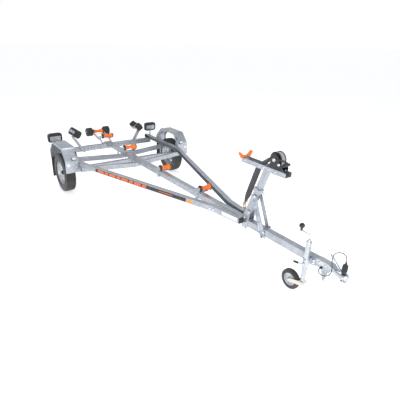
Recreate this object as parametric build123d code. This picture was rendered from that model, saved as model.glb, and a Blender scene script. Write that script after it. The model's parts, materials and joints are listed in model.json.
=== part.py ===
"""Single-axle keel-roller boat trailer, parked on its jockey wheel.

Everything is designed in the level chassis frame: X across (the trailer's left is +X),
Y along (the coupling points to -Y), Z up, with the wheel axle over Y = 0. The finished
chassis is then pitched nose-down about the axle, as it stands on its jockey wheel, and
moved along Y so that the origin is under the middle of its box, on the ground.
Lengths are millimetres, angles degrees.
"""
import math
import os

from build123d import *

# ---- driving dimensions ---------------------------------------------------------------
CHASSIS_PITCH = 1.83  # nose-down angle of the parked chassis

WHEEL_RADIUS = 289.0  # 155/80 R13 tyre
TYRE_WIDTH = 155.0
WHEEL_GAP = 100.0  # from the side member's outer face to the middle of the tyre
RIM_SEAT_RADIUS = 172.0
RIM_FLANGE_RADIUS = 183.0
RIM_WIDTH = 134.0
STUB_RADIUS = 20.0
RUNNING_CLEARANCE = 0.05  # radial, for every pin, stub and slide

SPINE_SIZE = 70.0  # main square tube
SPINE_WALL = 4.0
SPINE_TOP = 529.0
SPINE_FRONT = -4085.0
SPINE_REAR = -260.0
KEEL_TUBE_WALL = 3.0
KEEL_TUBE_OVERLAP = 260.0  # length of keel tube held inside the spine

RAIL_OUTER_X = 845.0  # outer face of the side members beside the wheels
RAIL_TOP = 540.0
RAIL_HEIGHT = 60.0
RAIL_WIDTH = 60.0
RAIL_WALL = 4.0
RAIL_BEND_Y = -440.0
RAIL_NECK_X = 155.0  # outer face where the side members meet the spine
RAIL_NECK_Y = -2600.0
RAIL_NOSE_GAP = 8.0  # between the spine and the side member at the winch post
RAIL_NOSE_Y = -3000.0
RAIL_REAR_Y = 640.0

REAR_BEAM_Y = 570.0
REAR_BEAM_DEPTH = 60.0
REAR_BEAM_HEIGHT = 80.0
CROSS_WIDTH = 50.0
CROSS_HEIGHT = 65.0
CROSS_DROP = 66.0  # how far the V-bent members sink at the middle
MIDDLE_CROSS_Y = 60.0
FRONT_CROSS_Y = -450.0

AXLE_Y = -130.0
AXLE_Z = 350.0
AXLE_SIZE = 60.0
ARM_THICKNESS = 30.0

FENDER_GAP = 4.0  # between the side member and the fender
FENDER_WIDTH = 191.0
FENDER_TOP = 740.0
FENDER_SHOULDER = 578.0
FENDER_FLAT = (-252.0, 165.0)  # front and rear ends of the flat top
FENDER_ENDS = (-393.0, 330.0)  # front and rear aprons
FENDER_FRONT_BOTTOM = 397.0
FENDER_REAR_BOTTOM = 450.0
FENDER_WALL = 3.0
FENDER_LIP = 25.0
TAIL_LAMP_SIZE = (225.0, 50.0, 150.0)
TAIL_LAMP_OFFSET = 25.0  # middle of the lamp outside the side member
TAIL_LAMP_Y = 600.0
TAIL_LAMP_Z = 680.0
MARKER_LAMP_INSET = 66.0  # from the fender's inner edge
FLAP_WALL = 5.0
FLAP_BOTTOM = 140.0

KEEL_ROLLER_END_RADIUS = 42.0
KEEL_ROLLER_WAIST_RADIUS = 27.0
KEEL_PIN_RADIUS = 9.0
SPINE_ROLLERS = (  # place along the spine, height of the pin, roller length
    (-2271.0, 615.0, 155.0),
    (-1361.0, 605.0, 160.0),
    (-316.0, 630.0, 200.0),
)
CRADLE_ROLLER_LENGTH = 190.0
CRADLE_FRONT = (536.0, 622.0)
CRADLE_REAR = (962.0, 610.0)
CRADLE_PIVOT = (705.0, 548.0)
CRADLE_PIN_RADIUS = 8.0
SIDE_ROLLER_RADIUS = 74.0
SIDE_ROLLER_WIDTH = 98.0

BOGIE_PIVOT = (555.0, 540.0, 738.0)
BOGIE_CANT = 34.0  # the bogie's roller pins rise outwards by this angle
BOGIE_WHEELBASE = 206.0
BOGIE_ROLLER_RADIUS = 63.0
BOGIE_ROLLER_WIDTH = 92.0
BOGIE_PLATE = 6.0  # thickness of the two side plates
BOGIE_PIN_RADIUS = 8.0
BOGIE_PIN_RISE = -6.0  # roller pins below the tilt pin, so that the bogie hangs level
BOGIE_BOSS_RADIUS = 20.0
BOGIE_POST_SPREAD = 165.0  # how far the post leans outwards to its head
POST_BAR_DEPTH = 40.0
POST_BAR_WIDTH = 40.0

POST_FOOT = (-3032.0, 590.0)  # winch post, centre line in Y and Z
POST_HEAD = (-3232.0, 1128.0)
POST_LOWER_SIZE = 60.0
POST_WALL = 3.0
POST_LOWER_LENGTH = 345.0
HEAD_WIDTH = 84.0
HEAD_DEPTH = 46.0
HEAD_BASE = 1130.0
HEAD_FRONT = -3490.0
HEAD_REAR = -2905.0
DRUM_AXIS = (-3345.0, 1268.0)
DRUM_FLANGE_RADIUS = 74.0
DRUM_ROLL_RADIUS = 58.0
DRUM_WIDTH = 62.0
DRUM_PIN_RADIUS = 10.0
STRAP_WIDTH = 50.0
RING_RADIUS = 22.0  # ring on the post that the hook is parked in
HOOK_RADIUS = 20.0
HOOK_WIRE = 5.0
STRAP_THICKNESS = 3.0

JOCKEY_X = -80.0
JOCKEY_Y = -3878.0
JOCKEY_TUBE_RADIUS = 24.0
JOCKEY_BORE = 21.0
JOCKEY_TUBE_TOP = 684.0
JOCKEY_TUBE_BOTTOM = 400.0
JOCKEY_TRAIL = 133.0  # jockey wheel axle behind its tube
JOCKEY_WHEEL_RADIUS = 100.0
JOCKEY_WHEEL_WIDTH = 50.0
JOCKEY_AXLE_RADIUS = 8.0
JOCKEY_SPIGOT_RADIUS = 12.0
JOCKEY_FORK_RISE = 50.0  # fork's top above the jockey wheel's axle
JOCKEY_LIFT = 100.0  # travel left to retract the wheel
JOCKEY_DROP = 40.0  # travel left to lower it

CABLE_DIAMETER = 7.0
WIRE_DIAMETER = 4.0
# Route of the lighting cable, from the spine's right side to the top of the parked plug.
CABLE_ROUTE = (
    (-35, -4010, 472),
    (-66, -4010, 472),
    (-94, -4022, 466),
    (-108, -4052, 458),
    (-107, -4088, 458),
    (-99, -4120, 472),
    (-91, -4140, 502),
    (-84, -4142, 538),
    (-76, -4130, 574),
    (-67, -4116, 608),
    (-58, -4110, 642),
    (-49, -4118, 674),
    (-40, -4142, 696),
    (-30, -4175, 702),
    (-23, -4204, 688),
    (-21, -4216, 662),
    (-21, -4216, 636),
)
# Route of the breakaway wire, from the coupling's neck round to its nose.
WIRE_ROUTE = (
    (-32, -4100, 486),
    (-54, -4100, 486),
    (-72, -4112, 474),
    (-80, -4136, 458),
    (-80, -4164, 446),
    (-72, -4192, 442),
    (-56, -4216, 448),
    (-38, -4233, 462),
)

# ---- values that follow from them ---------------------------------------------------------
SPINE_HALF = SPINE_SIZE / 2
HALF_TRACK = RAIL_OUTER_X + WHEEL_GAP
RAIL_NOSE_X = SPINE_HALF + RAIL_NOSE_GAP + RAIL_WIDTH
FENDER_INNER_X = RAIL_OUTER_X + FENDER_GAP
FENDER_OUTER_X = FENDER_INNER_X + FENDER_WIDTH
TAIL_LAMP_PLACE = (RAIL_OUTER_X + TAIL_LAMP_OFFSET, TAIL_LAMP_Y, TAIL_LAMP_Z)
SPINE_BOTTOM = SPINE_TOP - SPINE_SIZE
SPINE_MID = SPINE_TOP - SPINE_HALF
KEEL_TUBE_SIZE = SPINE_SIZE - 2 * SPINE_WALL
RAIL_BOTTOM = RAIL_TOP - RAIL_HEIGHT
REAR_BEAM_FRONT = REAR_BEAM_Y - REAR_BEAM_DEPTH / 2
REAR_BEAM_REAR = REAR_BEAM_Y + REAR_BEAM_DEPTH / 2
RAIL_MID_X = RAIL_OUTER_X - RAIL_WIDTH / 2
POST_UPPER_SIZE = POST_LOWER_SIZE - 2 * POST_WALL
JOCKEY_INNER_RADIUS = JOCKEY_BORE - RUNNING_CLEARANCE


# ---- shapes used many times ---------------------------------------------------------------
def block(x_span, y_span, z_span):
    """Box between low and high values on each axis."""
    sizes = [high - low for low, high in (x_span, y_span, z_span)]
    middle = [(high + low) / 2 for low, high in (x_span, y_span, z_span)]
    return Pos(*middle) * Box(*sizes)


def rod(start, end, radius):
    """Round bar from one point to another."""
    run = Vector(*end) - Vector(*start)
    return extrude(Plane(origin=start, z_dir=run) * Circle(radius), run.length)


def cross_rod(half_length, y, z, radius):
    """Round bar across the trailer, centred on its middle."""
    return rod((-half_length, y, z), (half_length, y, z), radius)


def square_bar(start, end, width, depth, wall=0, across=(1, 0, 0)):
    """Rectangular bar or tube between two points, its width along the across direction."""
    run = Vector(*end) - Vector(*start)
    section = Rectangle(width, depth)
    if wall:
        section -= Rectangle(width - 2 * wall, depth - 2 * wall)
    return extrude(Plane(origin=start, x_dir=across, z_dir=run) * section, run.length)


def offset_line(points, distance):
    """Polyline moved sideways (to the left of its direction), with mitred corners."""
    moved = []
    for index, point in enumerate(points):
        here = Vector(*point)
        before = (here - Vector(*points[index - 1])).normalized() if index else None
        after = None
        if index + 1 < len(points):
            after = (Vector(*points[index + 1]) - here).normalized()
        directions = [d for d in (before, after) if d]
        normals = [Vector(-d.Y, d.X) for d in directions]
        bisector = sum(normals[1:], normals[0]).normalized()
        moved.append(here + bisector * (distance / bisector.dot(normals[0])))
    return [(p.X, p.Y) for p in moved]


def band(points, distance):
    """Closed face between a polyline and its sideways copy."""
    return make_face(Polyline(*points, *reversed(offset_line(points, distance)), close=True))


def side_band(points, distance, x_span):
    """Band drawn in the Y-Z plane, extruded between two X values."""
    face = Plane(origin=(x_span[0], 0, 0), x_dir=(0, 1, 0), z_dir=(1, 0, 0)) * band(points, distance)
    return extrude(face, x_span[1] - x_span[0])


def side_plate(points, x_span):
    """Flat plate with a Y-Z outline between two X values."""
    plane = Plane(origin=(x_span[0], 0, 0), x_dir=(0, 1, 0), z_dir=(1, 0, 0))
    return extrude(plane * make_face(Polyline(*points, close=True)), x_span[1] - x_span[0])


def turned(points):
    """Solid of revolution about X from a closed (x, radius) outline."""
    return revolve(make_face(Polyline(*points, close=True)), Axis.X)


def hourglass(length, end_radius, waist_radius, bore):
    """Keel roller, waisted so that a keel centres itself, about X at the origin."""
    half = length / 2
    edge = 0.08 * length
    curve = ThreePointArc((-half + edge, end_radius), (0, waist_radius), (half - edge, end_radius))
    rest = Polyline(
        (half - edge, end_radius),
        (half, end_radius - 4),
        (half, bore),
        (-half, bore),
        (-half, end_radius - 4),
        (-half + edge, end_radius),
    )
    return revolve(make_face(curve + rest), Axis.X)


def wheel_ring(radius, width, bore):
    """Plain roller with softened edges, about X at the origin."""
    half = width / 2
    soft = 8
    return turned(
        [
            (-half, bore),
            (half, bore),
            (half, radius - soft),
            (half - soft, radius),
            (-half + soft, radius),
            (-half, radius - soft),
        ]
    )


def both_sides(shape):
    """A piece and its mirror image on the other side of the trailer."""
    return [shape, mirror(shape, about=Plane.YZ)]


# ---- chassis ------------------------------------------------------------------------------
def spine_beam():
    """Main square tube from the coupling to behind the axle."""
    return square_bar(
        (0, SPINE_FRONT, SPINE_MID), (0, SPINE_REAR, SPINE_MID), SPINE_SIZE, SPINE_SIZE, SPINE_WALL
    )


def keel_tube():
    """Tube that telescopes out of the spine and bolts to the rear beam with a gusseted flange."""
    start = SPINE_REAR - KEEL_TUBE_OVERLAP
    flange = 6
    tube = square_bar(
        (0, start, SPINE_MID),
        (0, REAR_BEAM_FRONT, SPINE_MID),
        KEEL_TUBE_SIZE,
        KEEL_TUBE_SIZE,
        KEEL_TUBE_WALL,
    )
    half = KEEL_TUBE_SIZE / 2
    y_span = (REAR_BEAM_FRONT - flange, REAR_BEAM_FRONT)
    tube += block((-70, 70), y_span, (RAIL_BOTTOM - 70, SPINE_TOP - SPINE_WALL))
    gusset = [
        (REAR_BEAM_FRONT - flange, SPINE_BOTTOM + SPINE_WALL),
        (REAR_BEAM_FRONT - 90, SPINE_BOTTOM + SPINE_WALL),
        (REAR_BEAM_FRONT - flange, RAIL_BOTTOM - 66),
    ]
    return tube + side_plate(gusset, (half - 30, half - 25)) + side_plate(gusset, (25 - half, 30 - half))


def side_member():
    """Left channel: beside the wheel, in to the spine, then along it to the winch post."""
    outer = [
        (RAIL_OUTER_X, RAIL_REAR_Y),
        (RAIL_OUTER_X, RAIL_BEND_Y),
        (RAIL_NECK_X, RAIL_NECK_Y),
        (RAIL_NOSE_X, RAIL_NOSE_Y),
    ]
    web = Pos(0, 0, RAIL_BOTTOM) * extrude(band(outer, -RAIL_WALL), RAIL_HEIGHT)
    flange = extrude(band(outer, -RAIL_WIDTH), RAIL_WALL)
    return web + Pos(0, 0, RAIL_BOTTOM) * flange + Pos(0, 0, RAIL_TOP - RAIL_WALL) * flange


def rear_cross_beam():
    """Straight rear beam under the side members."""
    return square_bar(
        (-RAIL_OUTER_X, REAR_BEAM_Y, RAIL_BOTTOM - REAR_BEAM_HEIGHT / 2),
        (RAIL_OUTER_X, REAR_BEAM_Y, RAIL_BOTTOM - REAR_BEAM_HEIGHT / 2),
        REAR_BEAM_DEPTH,
        REAR_BEAM_HEIGHT,
        4,
        across=(0, 1, 0),
    )


def v_cross_member(y, held_half_width):
    """Cross member that sinks to its middle, with two cheeks that hold the keel line."""
    outline = [
        (-RAIL_OUTER_X, RAIL_BOTTOM),
        (0, RAIL_BOTTOM - CROSS_DROP),
        (RAIL_OUTER_X, RAIL_BOTTOM),
    ]
    plane = Plane(origin=(0, y + CROSS_WIDTH / 2, 0), x_dir=(1, 0, 0), z_dir=(0, -1, 0))
    beam = extrude(plane * band(outline, -CROSS_HEIGHT), CROSS_WIDTH)
    inner = offset_line(outline, -4)
    hollow_plane = Plane(origin=(0, y + CROSS_WIDTH / 2 - 4, 0), x_dir=(1, 0, 0), z_dir=(0, -1, 0))
    beam -= extrude(hollow_plane * band(inner, 8 - CROSS_HEIGHT), CROSS_WIDTH - 8)
    cheek_top = SPINE_BOTTOM + 46
    for side in both_sides(
        block(
            (held_half_width, held_half_width + 6),
            (y - CROSS_WIDTH / 2, y + CROSS_WIDTH / 2),
            (RAIL_BOTTOM - CROSS_DROP - 10, cheek_top),
        )
    ):
        beam += side
    return beam


def axle_tube():
    """Straight rubber-torsion axle tube hung from the side members by two plates."""
    half = AXLE_SIZE / 2
    tube = square_bar(
        (-RAIL_MID_X - 15, AXLE_Y, AXLE_Z),
        (RAIL_MID_X + 15, AXLE_Y, AXLE_Z),
        AXLE_SIZE,
        AXLE_SIZE,
        5,
        across=(0, 1, 0),
    )
    hanger = [
        (AXLE_Y - half - 40, RAIL_BOTTOM),
        (AXLE_Y + half + 40, RAIL_BOTTOM),
        (AXLE_Y + half, AXLE_Z + half),
        (AXLE_Y - half, AXLE_Z + half),
    ]
    for side in both_sides(side_plate(hanger, (RAIL_MID_X - 5, RAIL_MID_X + 5))):
        tube += side
    return tube


def torsion_arm():
    """Left trailing arm with its stub axle."""
    inner = RAIL_MID_X + 15
    outer = inner + ARM_THICKNESS - 15
    reach = Vector(0, -AXLE_Y, WHEEL_RADIUS - AXLE_Z)
    arm = square_bar(
        (inner + 7.5, AXLE_Y, AXLE_Z),
        (inner + 7.5, AXLE_Y + reach.Y, AXLE_Z + reach.Z),
        outer - inner,
        56,
    )
    arm += rod((inner, AXLE_Y, AXLE_Z), (outer, AXLE_Y, AXLE_Z), 38)
    arm += rod((inner, 0, WHEEL_RADIUS), (outer, 0, WHEEL_RADIUS), 34)
    return arm + rod((outer, 0, WHEEL_RADIUS), (HALF_TRACK, 0, WHEEL_RADIUS), STUB_RADIUS)


# ---- wheels -------------------------------------------------------------------------------
def tyre(outboard):
    """Road tyre, outboard is +1 on the left and -1 on the right."""
    half = TYRE_WIDTH / 2
    bead = RIM_WIDTH / 2 - 4
    outline = [
        (-bead, RIM_SEAT_RADIUS),
        (bead, RIM_SEAT_RADIUS),
        (bead, RIM_FLANGE_RADIUS),
        (half, RIM_FLANGE_RADIUS + 34),
        (half, WHEEL_RADIUS - 34),
        (half - 12, WHEEL_RADIUS - 8),
        (half - 24, WHEEL_RADIUS),
        (24 - half, WHEEL_RADIUS),
        (12 - half, WHEEL_RADIUS - 8),
        (-half, WHEEL_RADIUS - 34),
        (-half, RIM_FLANGE_RADIUS + 34),
        (-bead, RIM_FLANGE_RADIUS),
    ]
    return Pos(outboard * HALF_TRACK, 0, WHEEL_RADIUS) * turned(outline)


def rim(outboard):
    """Pressed steel wheel with its hub, which runs on the stub axle."""
    half = RIM_WIDTH / 2
    seat = RIM_SEAT_RADIUS
    disc = 26.0  # outboard face of the wheel disc
    hub_inner = RAIL_MID_X + ARM_THICKNESS + 5 - HALF_TRACK
    bore = STUB_RADIUS + RUNNING_CLEARANCE
    barrel = turned(
        [
            (-half, seat - 5),
            (half, seat - 5),
            (half, RIM_FLANGE_RADIUS),
            (half - 4, RIM_FLANGE_RADIUS),
            (half - 4, seat),
            (4 - half, seat),
            (4 - half, RIM_FLANGE_RADIUS),
            (-half, RIM_FLANGE_RADIUS),
        ]
    )
    face = turned([(disc - 6, 30), (disc, 30), (disc, seat - 4), (disc - 6, seat - 4)])
    for index in range(12):
        slot = Rot(index * 30, 0, 0) * Pos(disc - 3, 0, seat - 34) * Box(20, 34, 18)
        face -= slot
    hub = turned([(hub_inner, bore), (6, bore), (6, 0), (disc + 34, 0), (disc + 34, 26), (disc + 2, 32)]
                 + [(disc - 6, 32), (disc - 6, 68), (disc - 16, 68), (disc - 16, 50), (hub_inner, 50)])
    wheel = barrel + face + hub
    if outboard < 0:
        wheel = mirror(wheel, about=Plane.YZ)
    return Pos(outboard * HALF_TRACK, 0, WHEEL_RADIUS) * wheel


# ---- fenders and lamps ----------------------------------------------------------------------
def fender_line():
    """Side outline of the fender's outer skin, front to rear, in Y and Z."""
    return [
        (FENDER_ENDS[0], FENDER_FRONT_BOTTOM),
        (FENDER_ENDS[0], FENDER_SHOULDER),
        (FENDER_FLAT[0], FENDER_TOP),
        (FENDER_FLAT[1], FENDER_TOP),
        (FENDER_ENDS[1], FENDER_SHOULDER),
        (FENDER_ENDS[1], FENDER_REAR_BOTTOM),
    ]


def fender():
    """Left fender: folded sheet over the wheel, with a lip along both edges."""
    line = fender_line()
    shell = side_band(line, -FENDER_WALL, (FENDER_INNER_X, FENDER_OUTER_X))
    shell += side_band(line, -FENDER_LIP, (FENDER_INNER_X, FENDER_INNER_X + FENDER_WALL))
    return shell + side_band(line, -FENDER_LIP, (FENDER_OUTER_X - FENDER_WALL, FENDER_OUTER_X))


def fender_brackets():
    """Brackets that hold the left fender on its side member, front and rear."""
    pieces = []
    for y in (FENDER_ENDS[0] + 30, FENDER_ENDS[1] - 60):
        upright = block(
            (RAIL_OUTER_X, FENDER_INNER_X), (y, y + 40), (RAIL_BOTTOM + 4, FENDER_SHOULDER + 20)
        )
        pieces.append(upright)
    return pieces


def mudflap():
    """Left rubber flap behind the wheel."""
    y = FENDER_ENDS[1]
    return block(
        (FENDER_INNER_X + 12, FENDER_OUTER_X - 8), (y, y + FLAP_WALL), (FLAP_BOTTOM, FENDER_SHOULDER - 40)
    )


def tail_lamp():
    """Left rear lamp housing behind the fender."""
    return Pos(*TAIL_LAMP_PLACE) * fillet(
        Box(*TAIL_LAMP_SIZE).edges().filter_by(Axis.Y), radius=40
    )


def tail_lamp_bracket():
    """Leg on the side member's outer web, up to a plate on the front of the left lamp."""
    wall = 4
    lamp_front = TAIL_LAMP_PLACE[1] - TAIL_LAMP_SIZE[1] / 2
    low, high = (TAIL_LAMP_PLACE[2] + end * TAIL_LAMP_SIZE[2] / 2 for end in (-1, 1))
    half = TAIL_LAMP_SIZE[0] / 2 - 30
    web_x = (RAIL_OUTER_X, RAIL_OUTER_X + wall)
    bracket = block(web_x, (lamp_front - 44, lamp_front), (RAIL_BOTTOM + 4, low + 50))
    face_x = (TAIL_LAMP_PLACE[0] - half, TAIL_LAMP_PLACE[0] + half)
    return bracket + block(face_x, (lamp_front - wall, lamp_front), (low + 26, high - 50))


def marker_lamp():
    """Left front position lamp on the fender's front slope."""
    slope = math.degrees(
        math.atan2(FENDER_TOP - FENDER_SHOULDER, FENDER_FLAT[0] - FENDER_ENDS[0])
    )
    place = Location((FENDER_INNER_X + MARKER_LAMP_INSET, FENDER_ENDS[0], FENDER_SHOULDER), (slope, 0, 0))
    return place * block((-32, 32), (0, 40), (0, 24))


# ---- keel rollers -----------------------------------------------------------------------------
def spine_roller_bracket(y, z, length):
    """Clamp on the spine whose ears lean forward to the roller's pin."""
    ear = length / 2 + 3
    wall = 5
    base_y = (y + 60, y + 160)
    bracket = block((-ear - wall, ear + wall), base_y, (SPINE_TOP, SPINE_TOP + wall))
    outline = [
        (base_y[0], SPINE_TOP),
        (base_y[1], SPINE_TOP),
        (base_y[1] - 20, SPINE_TOP + 30),
        (y + 22, z + 16),
        (y - 16, z + 16),
        (y - 20, z - 14),
    ]
    for side in both_sides(side_plate(outline, (ear, ear + wall))):
        bracket += side
    lug = block((SPINE_HALF, SPINE_HALF + wall), (y + 85, y + 135), (SPINE_BOTTOM - 24, SPINE_TOP + wall))
    for side in both_sides(lug):
        bracket += side
    return bracket + cross_rod(ear + wall + 8, y, z, KEEL_PIN_RADIUS)


def keel_roller(y, z, length):
    """Waisted polyurethane roller that turns on its pin."""
    bore = KEEL_PIN_RADIUS + RUNNING_CLEARANCE
    return Pos(0, y, z) * hourglass(length, KEEL_ROLLER_END_RADIUS, KEEL_ROLLER_WAIST_RADIUS, bore)


CRADLE_PLATE = (CRADLE_ROLLER_LENGTH / 2 + 3, CRADLE_ROLLER_LENGTH / 2 + 9)


def cradle_mount():
    """Two ears on the rear beam that carry the rocking keel cradle's pin."""
    y, z = CRADLE_PIVOT
    ear_outline = [
        (REAR_BEAM_FRONT, RAIL_BOTTOM),
        (REAR_BEAM_REAR, RAIL_BOTTOM),
        (y + 20, z - 14),
        (y + 16, z + 18),
        (y - 20, z + 18),
        (REAR_BEAM_FRONT, RAIL_BOTTOM + 24),
    ]
    ear = CRADLE_PLATE[0] - 14
    mount = block((-ear, ear), (REAR_BEAM_FRONT, REAR_BEAM_REAR), (RAIL_BOTTOM, RAIL_BOTTOM + 6))
    for side in both_sides(side_plate(ear_outline, (ear - 6, ear))):
        mount += side
    return mount + cross_rod(CRADLE_PLATE[1] + 8, y, z, CRADLE_PIN_RADIUS)


def cradle_frame():
    """Rocker: two plates from the front roller to the rear one, with both roller pins."""
    y, z = CRADLE_PIVOT
    plate_line = [
        (CRADLE_FRONT[0] - 20, CRADLE_FRONT[1] - 10),
        (CRADLE_FRONT[0] + 10, CRADLE_FRONT[1] - 34),
        (y - 30, z - 20),
        (y + 30, z - 20),
        (CRADLE_REAR[0] + 20, CRADLE_REAR[1] - 14),
        (CRADLE_REAR[0] + 14, CRADLE_REAR[1] + 16),
        (CRADLE_REAR[0] - 16, CRADLE_REAR[1] + 16),
        (CRADLE_REAR[0] - 60, CRADLE_REAR[1] - 16),
        (y, z + 30),
        (CRADLE_FRONT[0] + 40, CRADLE_FRONT[1]),
        (CRADLE_FRONT[0] + 14, CRADLE_FRONT[1] + 16),
        (CRADLE_FRONT[0] - 16, CRADLE_FRONT[1] + 16),
    ]
    plate = side_plate(plate_line, CRADLE_PLATE)
    plate -= rod((CRADLE_PLATE[0] - 5, y, z), (CRADLE_PLATE[1] + 5, y, z), CRADLE_PIN_RADIUS + RUNNING_CLEARANCE)
    frame = cross_rod(CRADLE_PLATE[1], *CRADLE_FRONT, KEEL_PIN_RADIUS)
    frame += cross_rod(CRADLE_PLATE[1] + SIDE_ROLLER_WIDTH + 16, *CRADLE_REAR, KEEL_PIN_RADIUS)
    for side in both_sides(plate):
        frame += side
    brace_y = CRADLE_REAR[0] - 105
    half = CRADLE_PLATE[0]
    return frame + block((-half, half), (brace_y, brace_y + 20), (CRADLE_REAR[1] - 32, CRADLE_REAR[1] - 26))


def cradle_roller(place):
    """Keel roller of the rocking cradle."""
    bore = KEEL_PIN_RADIUS + RUNNING_CLEARANCE
    shape = hourglass(CRADLE_ROLLER_LENGTH, KEEL_ROLLER_END_RADIUS, KEEL_ROLLER_WAIST_RADIUS, bore)
    return Pos(0, *place) * shape


def cradle_side_rollers():
    """Plain black rollers outside the cradle's rear roller."""
    shape = wheel_ring(SIDE_ROLLER_RADIUS, SIDE_ROLLER_WIDTH, KEEL_PIN_RADIUS + RUNNING_CLEARANCE)
    offset = CRADLE_PLATE[1] + 4 + SIDE_ROLLER_WIDTH / 2
    return [Pos(side * offset, *CRADLE_REAR) * shape for side in (-1, 1)]


# ---- hull roller bogies ---------------------------------------------------------------------
def bogie_place():
    """Left bogie's own frame: X along its pins (up and outwards), Y along the trailer."""
    return Location(BOGIE_PIVOT, (0, -BOGIE_CANT, 0))


def hull_roller_post():
    """Left post from the rear beam's front out to the boss of the bogie's tilt pin."""
    reach = REAR_BEAM_FRONT - POST_BAR_DEPTH / 2 - BOGIE_PIVOT[1]
    foot_z = RAIL_BOTTOM - REAR_BEAM_HEIGHT
    base_z = BOGIE_PIN_RISE - BOGIE_ROLLER_RADIUS - 8
    boss = BOGIE_ROLLER_WIDTH / 2
    tip = bogie_plate_span()[1] + 8
    head = block((-22, 22), (reach - POST_BAR_DEPTH / 2, 18), (base_z - 10, base_z))
    head += block((-18, 18), (-14, 14), (base_z - 1, 0))
    head += rod((-boss, 0, 0), (boss, 0, 0), BOGIE_BOSS_RADIUS)
    head += rod((-tip, 0, 0), (tip, 0, 0), BOGIE_PIN_RADIUS)
    top = bogie_place() * Pos(0, reach, base_z - 5)
    post = square_bar(
        (top.position.X - BOGIE_POST_SPREAD, top.position.Y, foot_z),
        tuple(top.position),
        POST_BAR_DEPTH,
        POST_BAR_WIDTH,
        across=(0, 1, 0),
    )
    above = block((-80, 80), (reach - 60, 80), (base_z - 6, base_z + 200))
    post -= bogie_place() * above
    post -= block((0, 2000), (0, 2000), (0, foot_z + 4))
    return post + bogie_place() * head


def bogie_plate_span():
    """Inner and outer distance of each side plate from the middle of the bogie."""
    inner = BOGIE_ROLLER_WIDTH / 2 + 4
    return inner, inner + BOGIE_PLATE


def hull_bogie():
    """Left bogie: two plates outside the rollers, joined by the roller pins, on the tilt pin."""
    inner, outer = bogie_plate_span()
    reach = BOGIE_WHEELBASE / 2 + 20
    rise = BOGIE_PIN_RISE
    outline = [
        (-reach, rise - 12),
        (-reach + 12, rise - 20),
        (reach - 12, rise - 20),
        (reach, rise - 12),
        (reach, rise + 12),
        (reach - 10, rise + 20),
        (-reach + 10, rise + 20),
        (-reach, rise + 12),
    ]
    hole = rod((-outer - 1, 0, 0), (outer + 1, 0, 0), BOGIE_PIN_RADIUS + RUNNING_CLEARANCE)
    frame = side_plate(outline, (inner, outer)) - hole
    frame += side_plate(outline, (-outer, -inner)) - hole
    for side in (-1, 1):
        frame += cross_rod(outer + 8, side * BOGIE_WHEELBASE / 2, rise, BOGIE_PIN_RADIUS)
    return bogie_place() * frame


def hull_roller(side):
    """Left rubber roller on one pin of the bogie, side +1 rear or -1 front."""
    ring = wheel_ring(BOGIE_ROLLER_RADIUS, BOGIE_ROLLER_WIDTH, BOGIE_PIN_RADIUS + RUNNING_CLEARANCE)
    return bogie_place() * Pos(0, side * BOGIE_WHEELBASE / 2, BOGIE_PIN_RISE) * ring


# ---- winch post -------------------------------------------------------------------------------
def post_point(share, size=0.0):
    """Point on the post's centre line, share 0 at its foot and 1 at its head."""
    y = POST_FOOT[0] + (POST_HEAD[0] - POST_FOOT[0]) * share
    z = POST_FOOT[1] + (POST_HEAD[1] - POST_FOOT[1]) * share
    return (size, y, z)


POST_LENGTH = math.hypot(POST_HEAD[0] - POST_FOOT[0], POST_HEAD[1] - POST_FOOT[1])
POST_JOINT = POST_LOWER_LENGTH / POST_LENGTH


def winch_post_base():
    """Saddle that clamps the post's foot on the spine, with the ring that the hook is parked in."""
    half = POST_LOWER_SIZE / 2
    y = POST_FOOT[0]
    outline = [
        (y + 42, SPINE_BOTTOM - 34),
        (y - 34, SPINE_BOTTOM - 34),
        (y - 52, SPINE_TOP + 26),
        (y - 62, SPINE_TOP + 118),
        (y - 6, SPINE_TOP + 118),
        (y + 42, SPINE_TOP + 40),
    ]
    base = block((-SPINE_HALF, SPINE_HALF), (y - 40, y + 42), (SPINE_TOP, SPINE_TOP + 5))
    base += block((-SPINE_HALF, SPINE_HALF), (y - 30, y + 40), (SPINE_BOTTOM - 8, SPINE_BOTTOM))
    for side in both_sides(side_plate(outline, (SPINE_HALF, SPINE_HALF + 5))):
        base += side
    gap = SPINE_HALF - half
    if gap > 0:
        for side in both_sides(
            block((half, SPINE_HALF), (y - 46, y - 10), (SPINE_TOP + 40, SPINE_TOP + 80))
        ):
            base += side
    ring_y, ring_z = parking_ring_place()
    staple_z = ring_z - RING_RADIUS
    base += block((-SPINE_HALF, SPINE_HALF), (y + 18, y + 26), (staple_z - 30, staple_z + 4))
    base += block((-6, 6), (y + 24, ring_y + 5), (staple_z - 6, staple_z + 4))
    return base + Location((0, ring_y, ring_z), (90, 0, 0)) * Torus(RING_RADIUS, HOOK_WIRE)


def winch_post_lower():
    """Square outer tube of the post with its clamp collar."""
    post = square_bar(post_point(0), post_point(POST_JOINT), POST_LOWER_SIZE, POST_LOWER_SIZE, POST_WALL)
    start = post_point(POST_JOINT - 0.07)
    collar = square_bar(start, post_point(POST_JOINT), POST_LOWER_SIZE + 14, POST_LOWER_SIZE + 14, 7)
    trim = block((-100, 100), (POST_FOOT[0] - 100, POST_FOOT[0] + 100), (0, SPINE_TOP + 5))
    return post + collar - trim


def winch_post_upper():
    """Square inner tube that carries the winch head."""
    post = square_bar(
        post_point(POST_JOINT - 0.4), post_point(1.08), POST_UPPER_SIZE, POST_UPPER_SIZE, POST_WALL
    )
    return post - block((-100, 100), (POST_HEAD[0] - 200, POST_HEAD[0] + 100), (HEAD_BASE, HEAD_BASE + 200))


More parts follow.
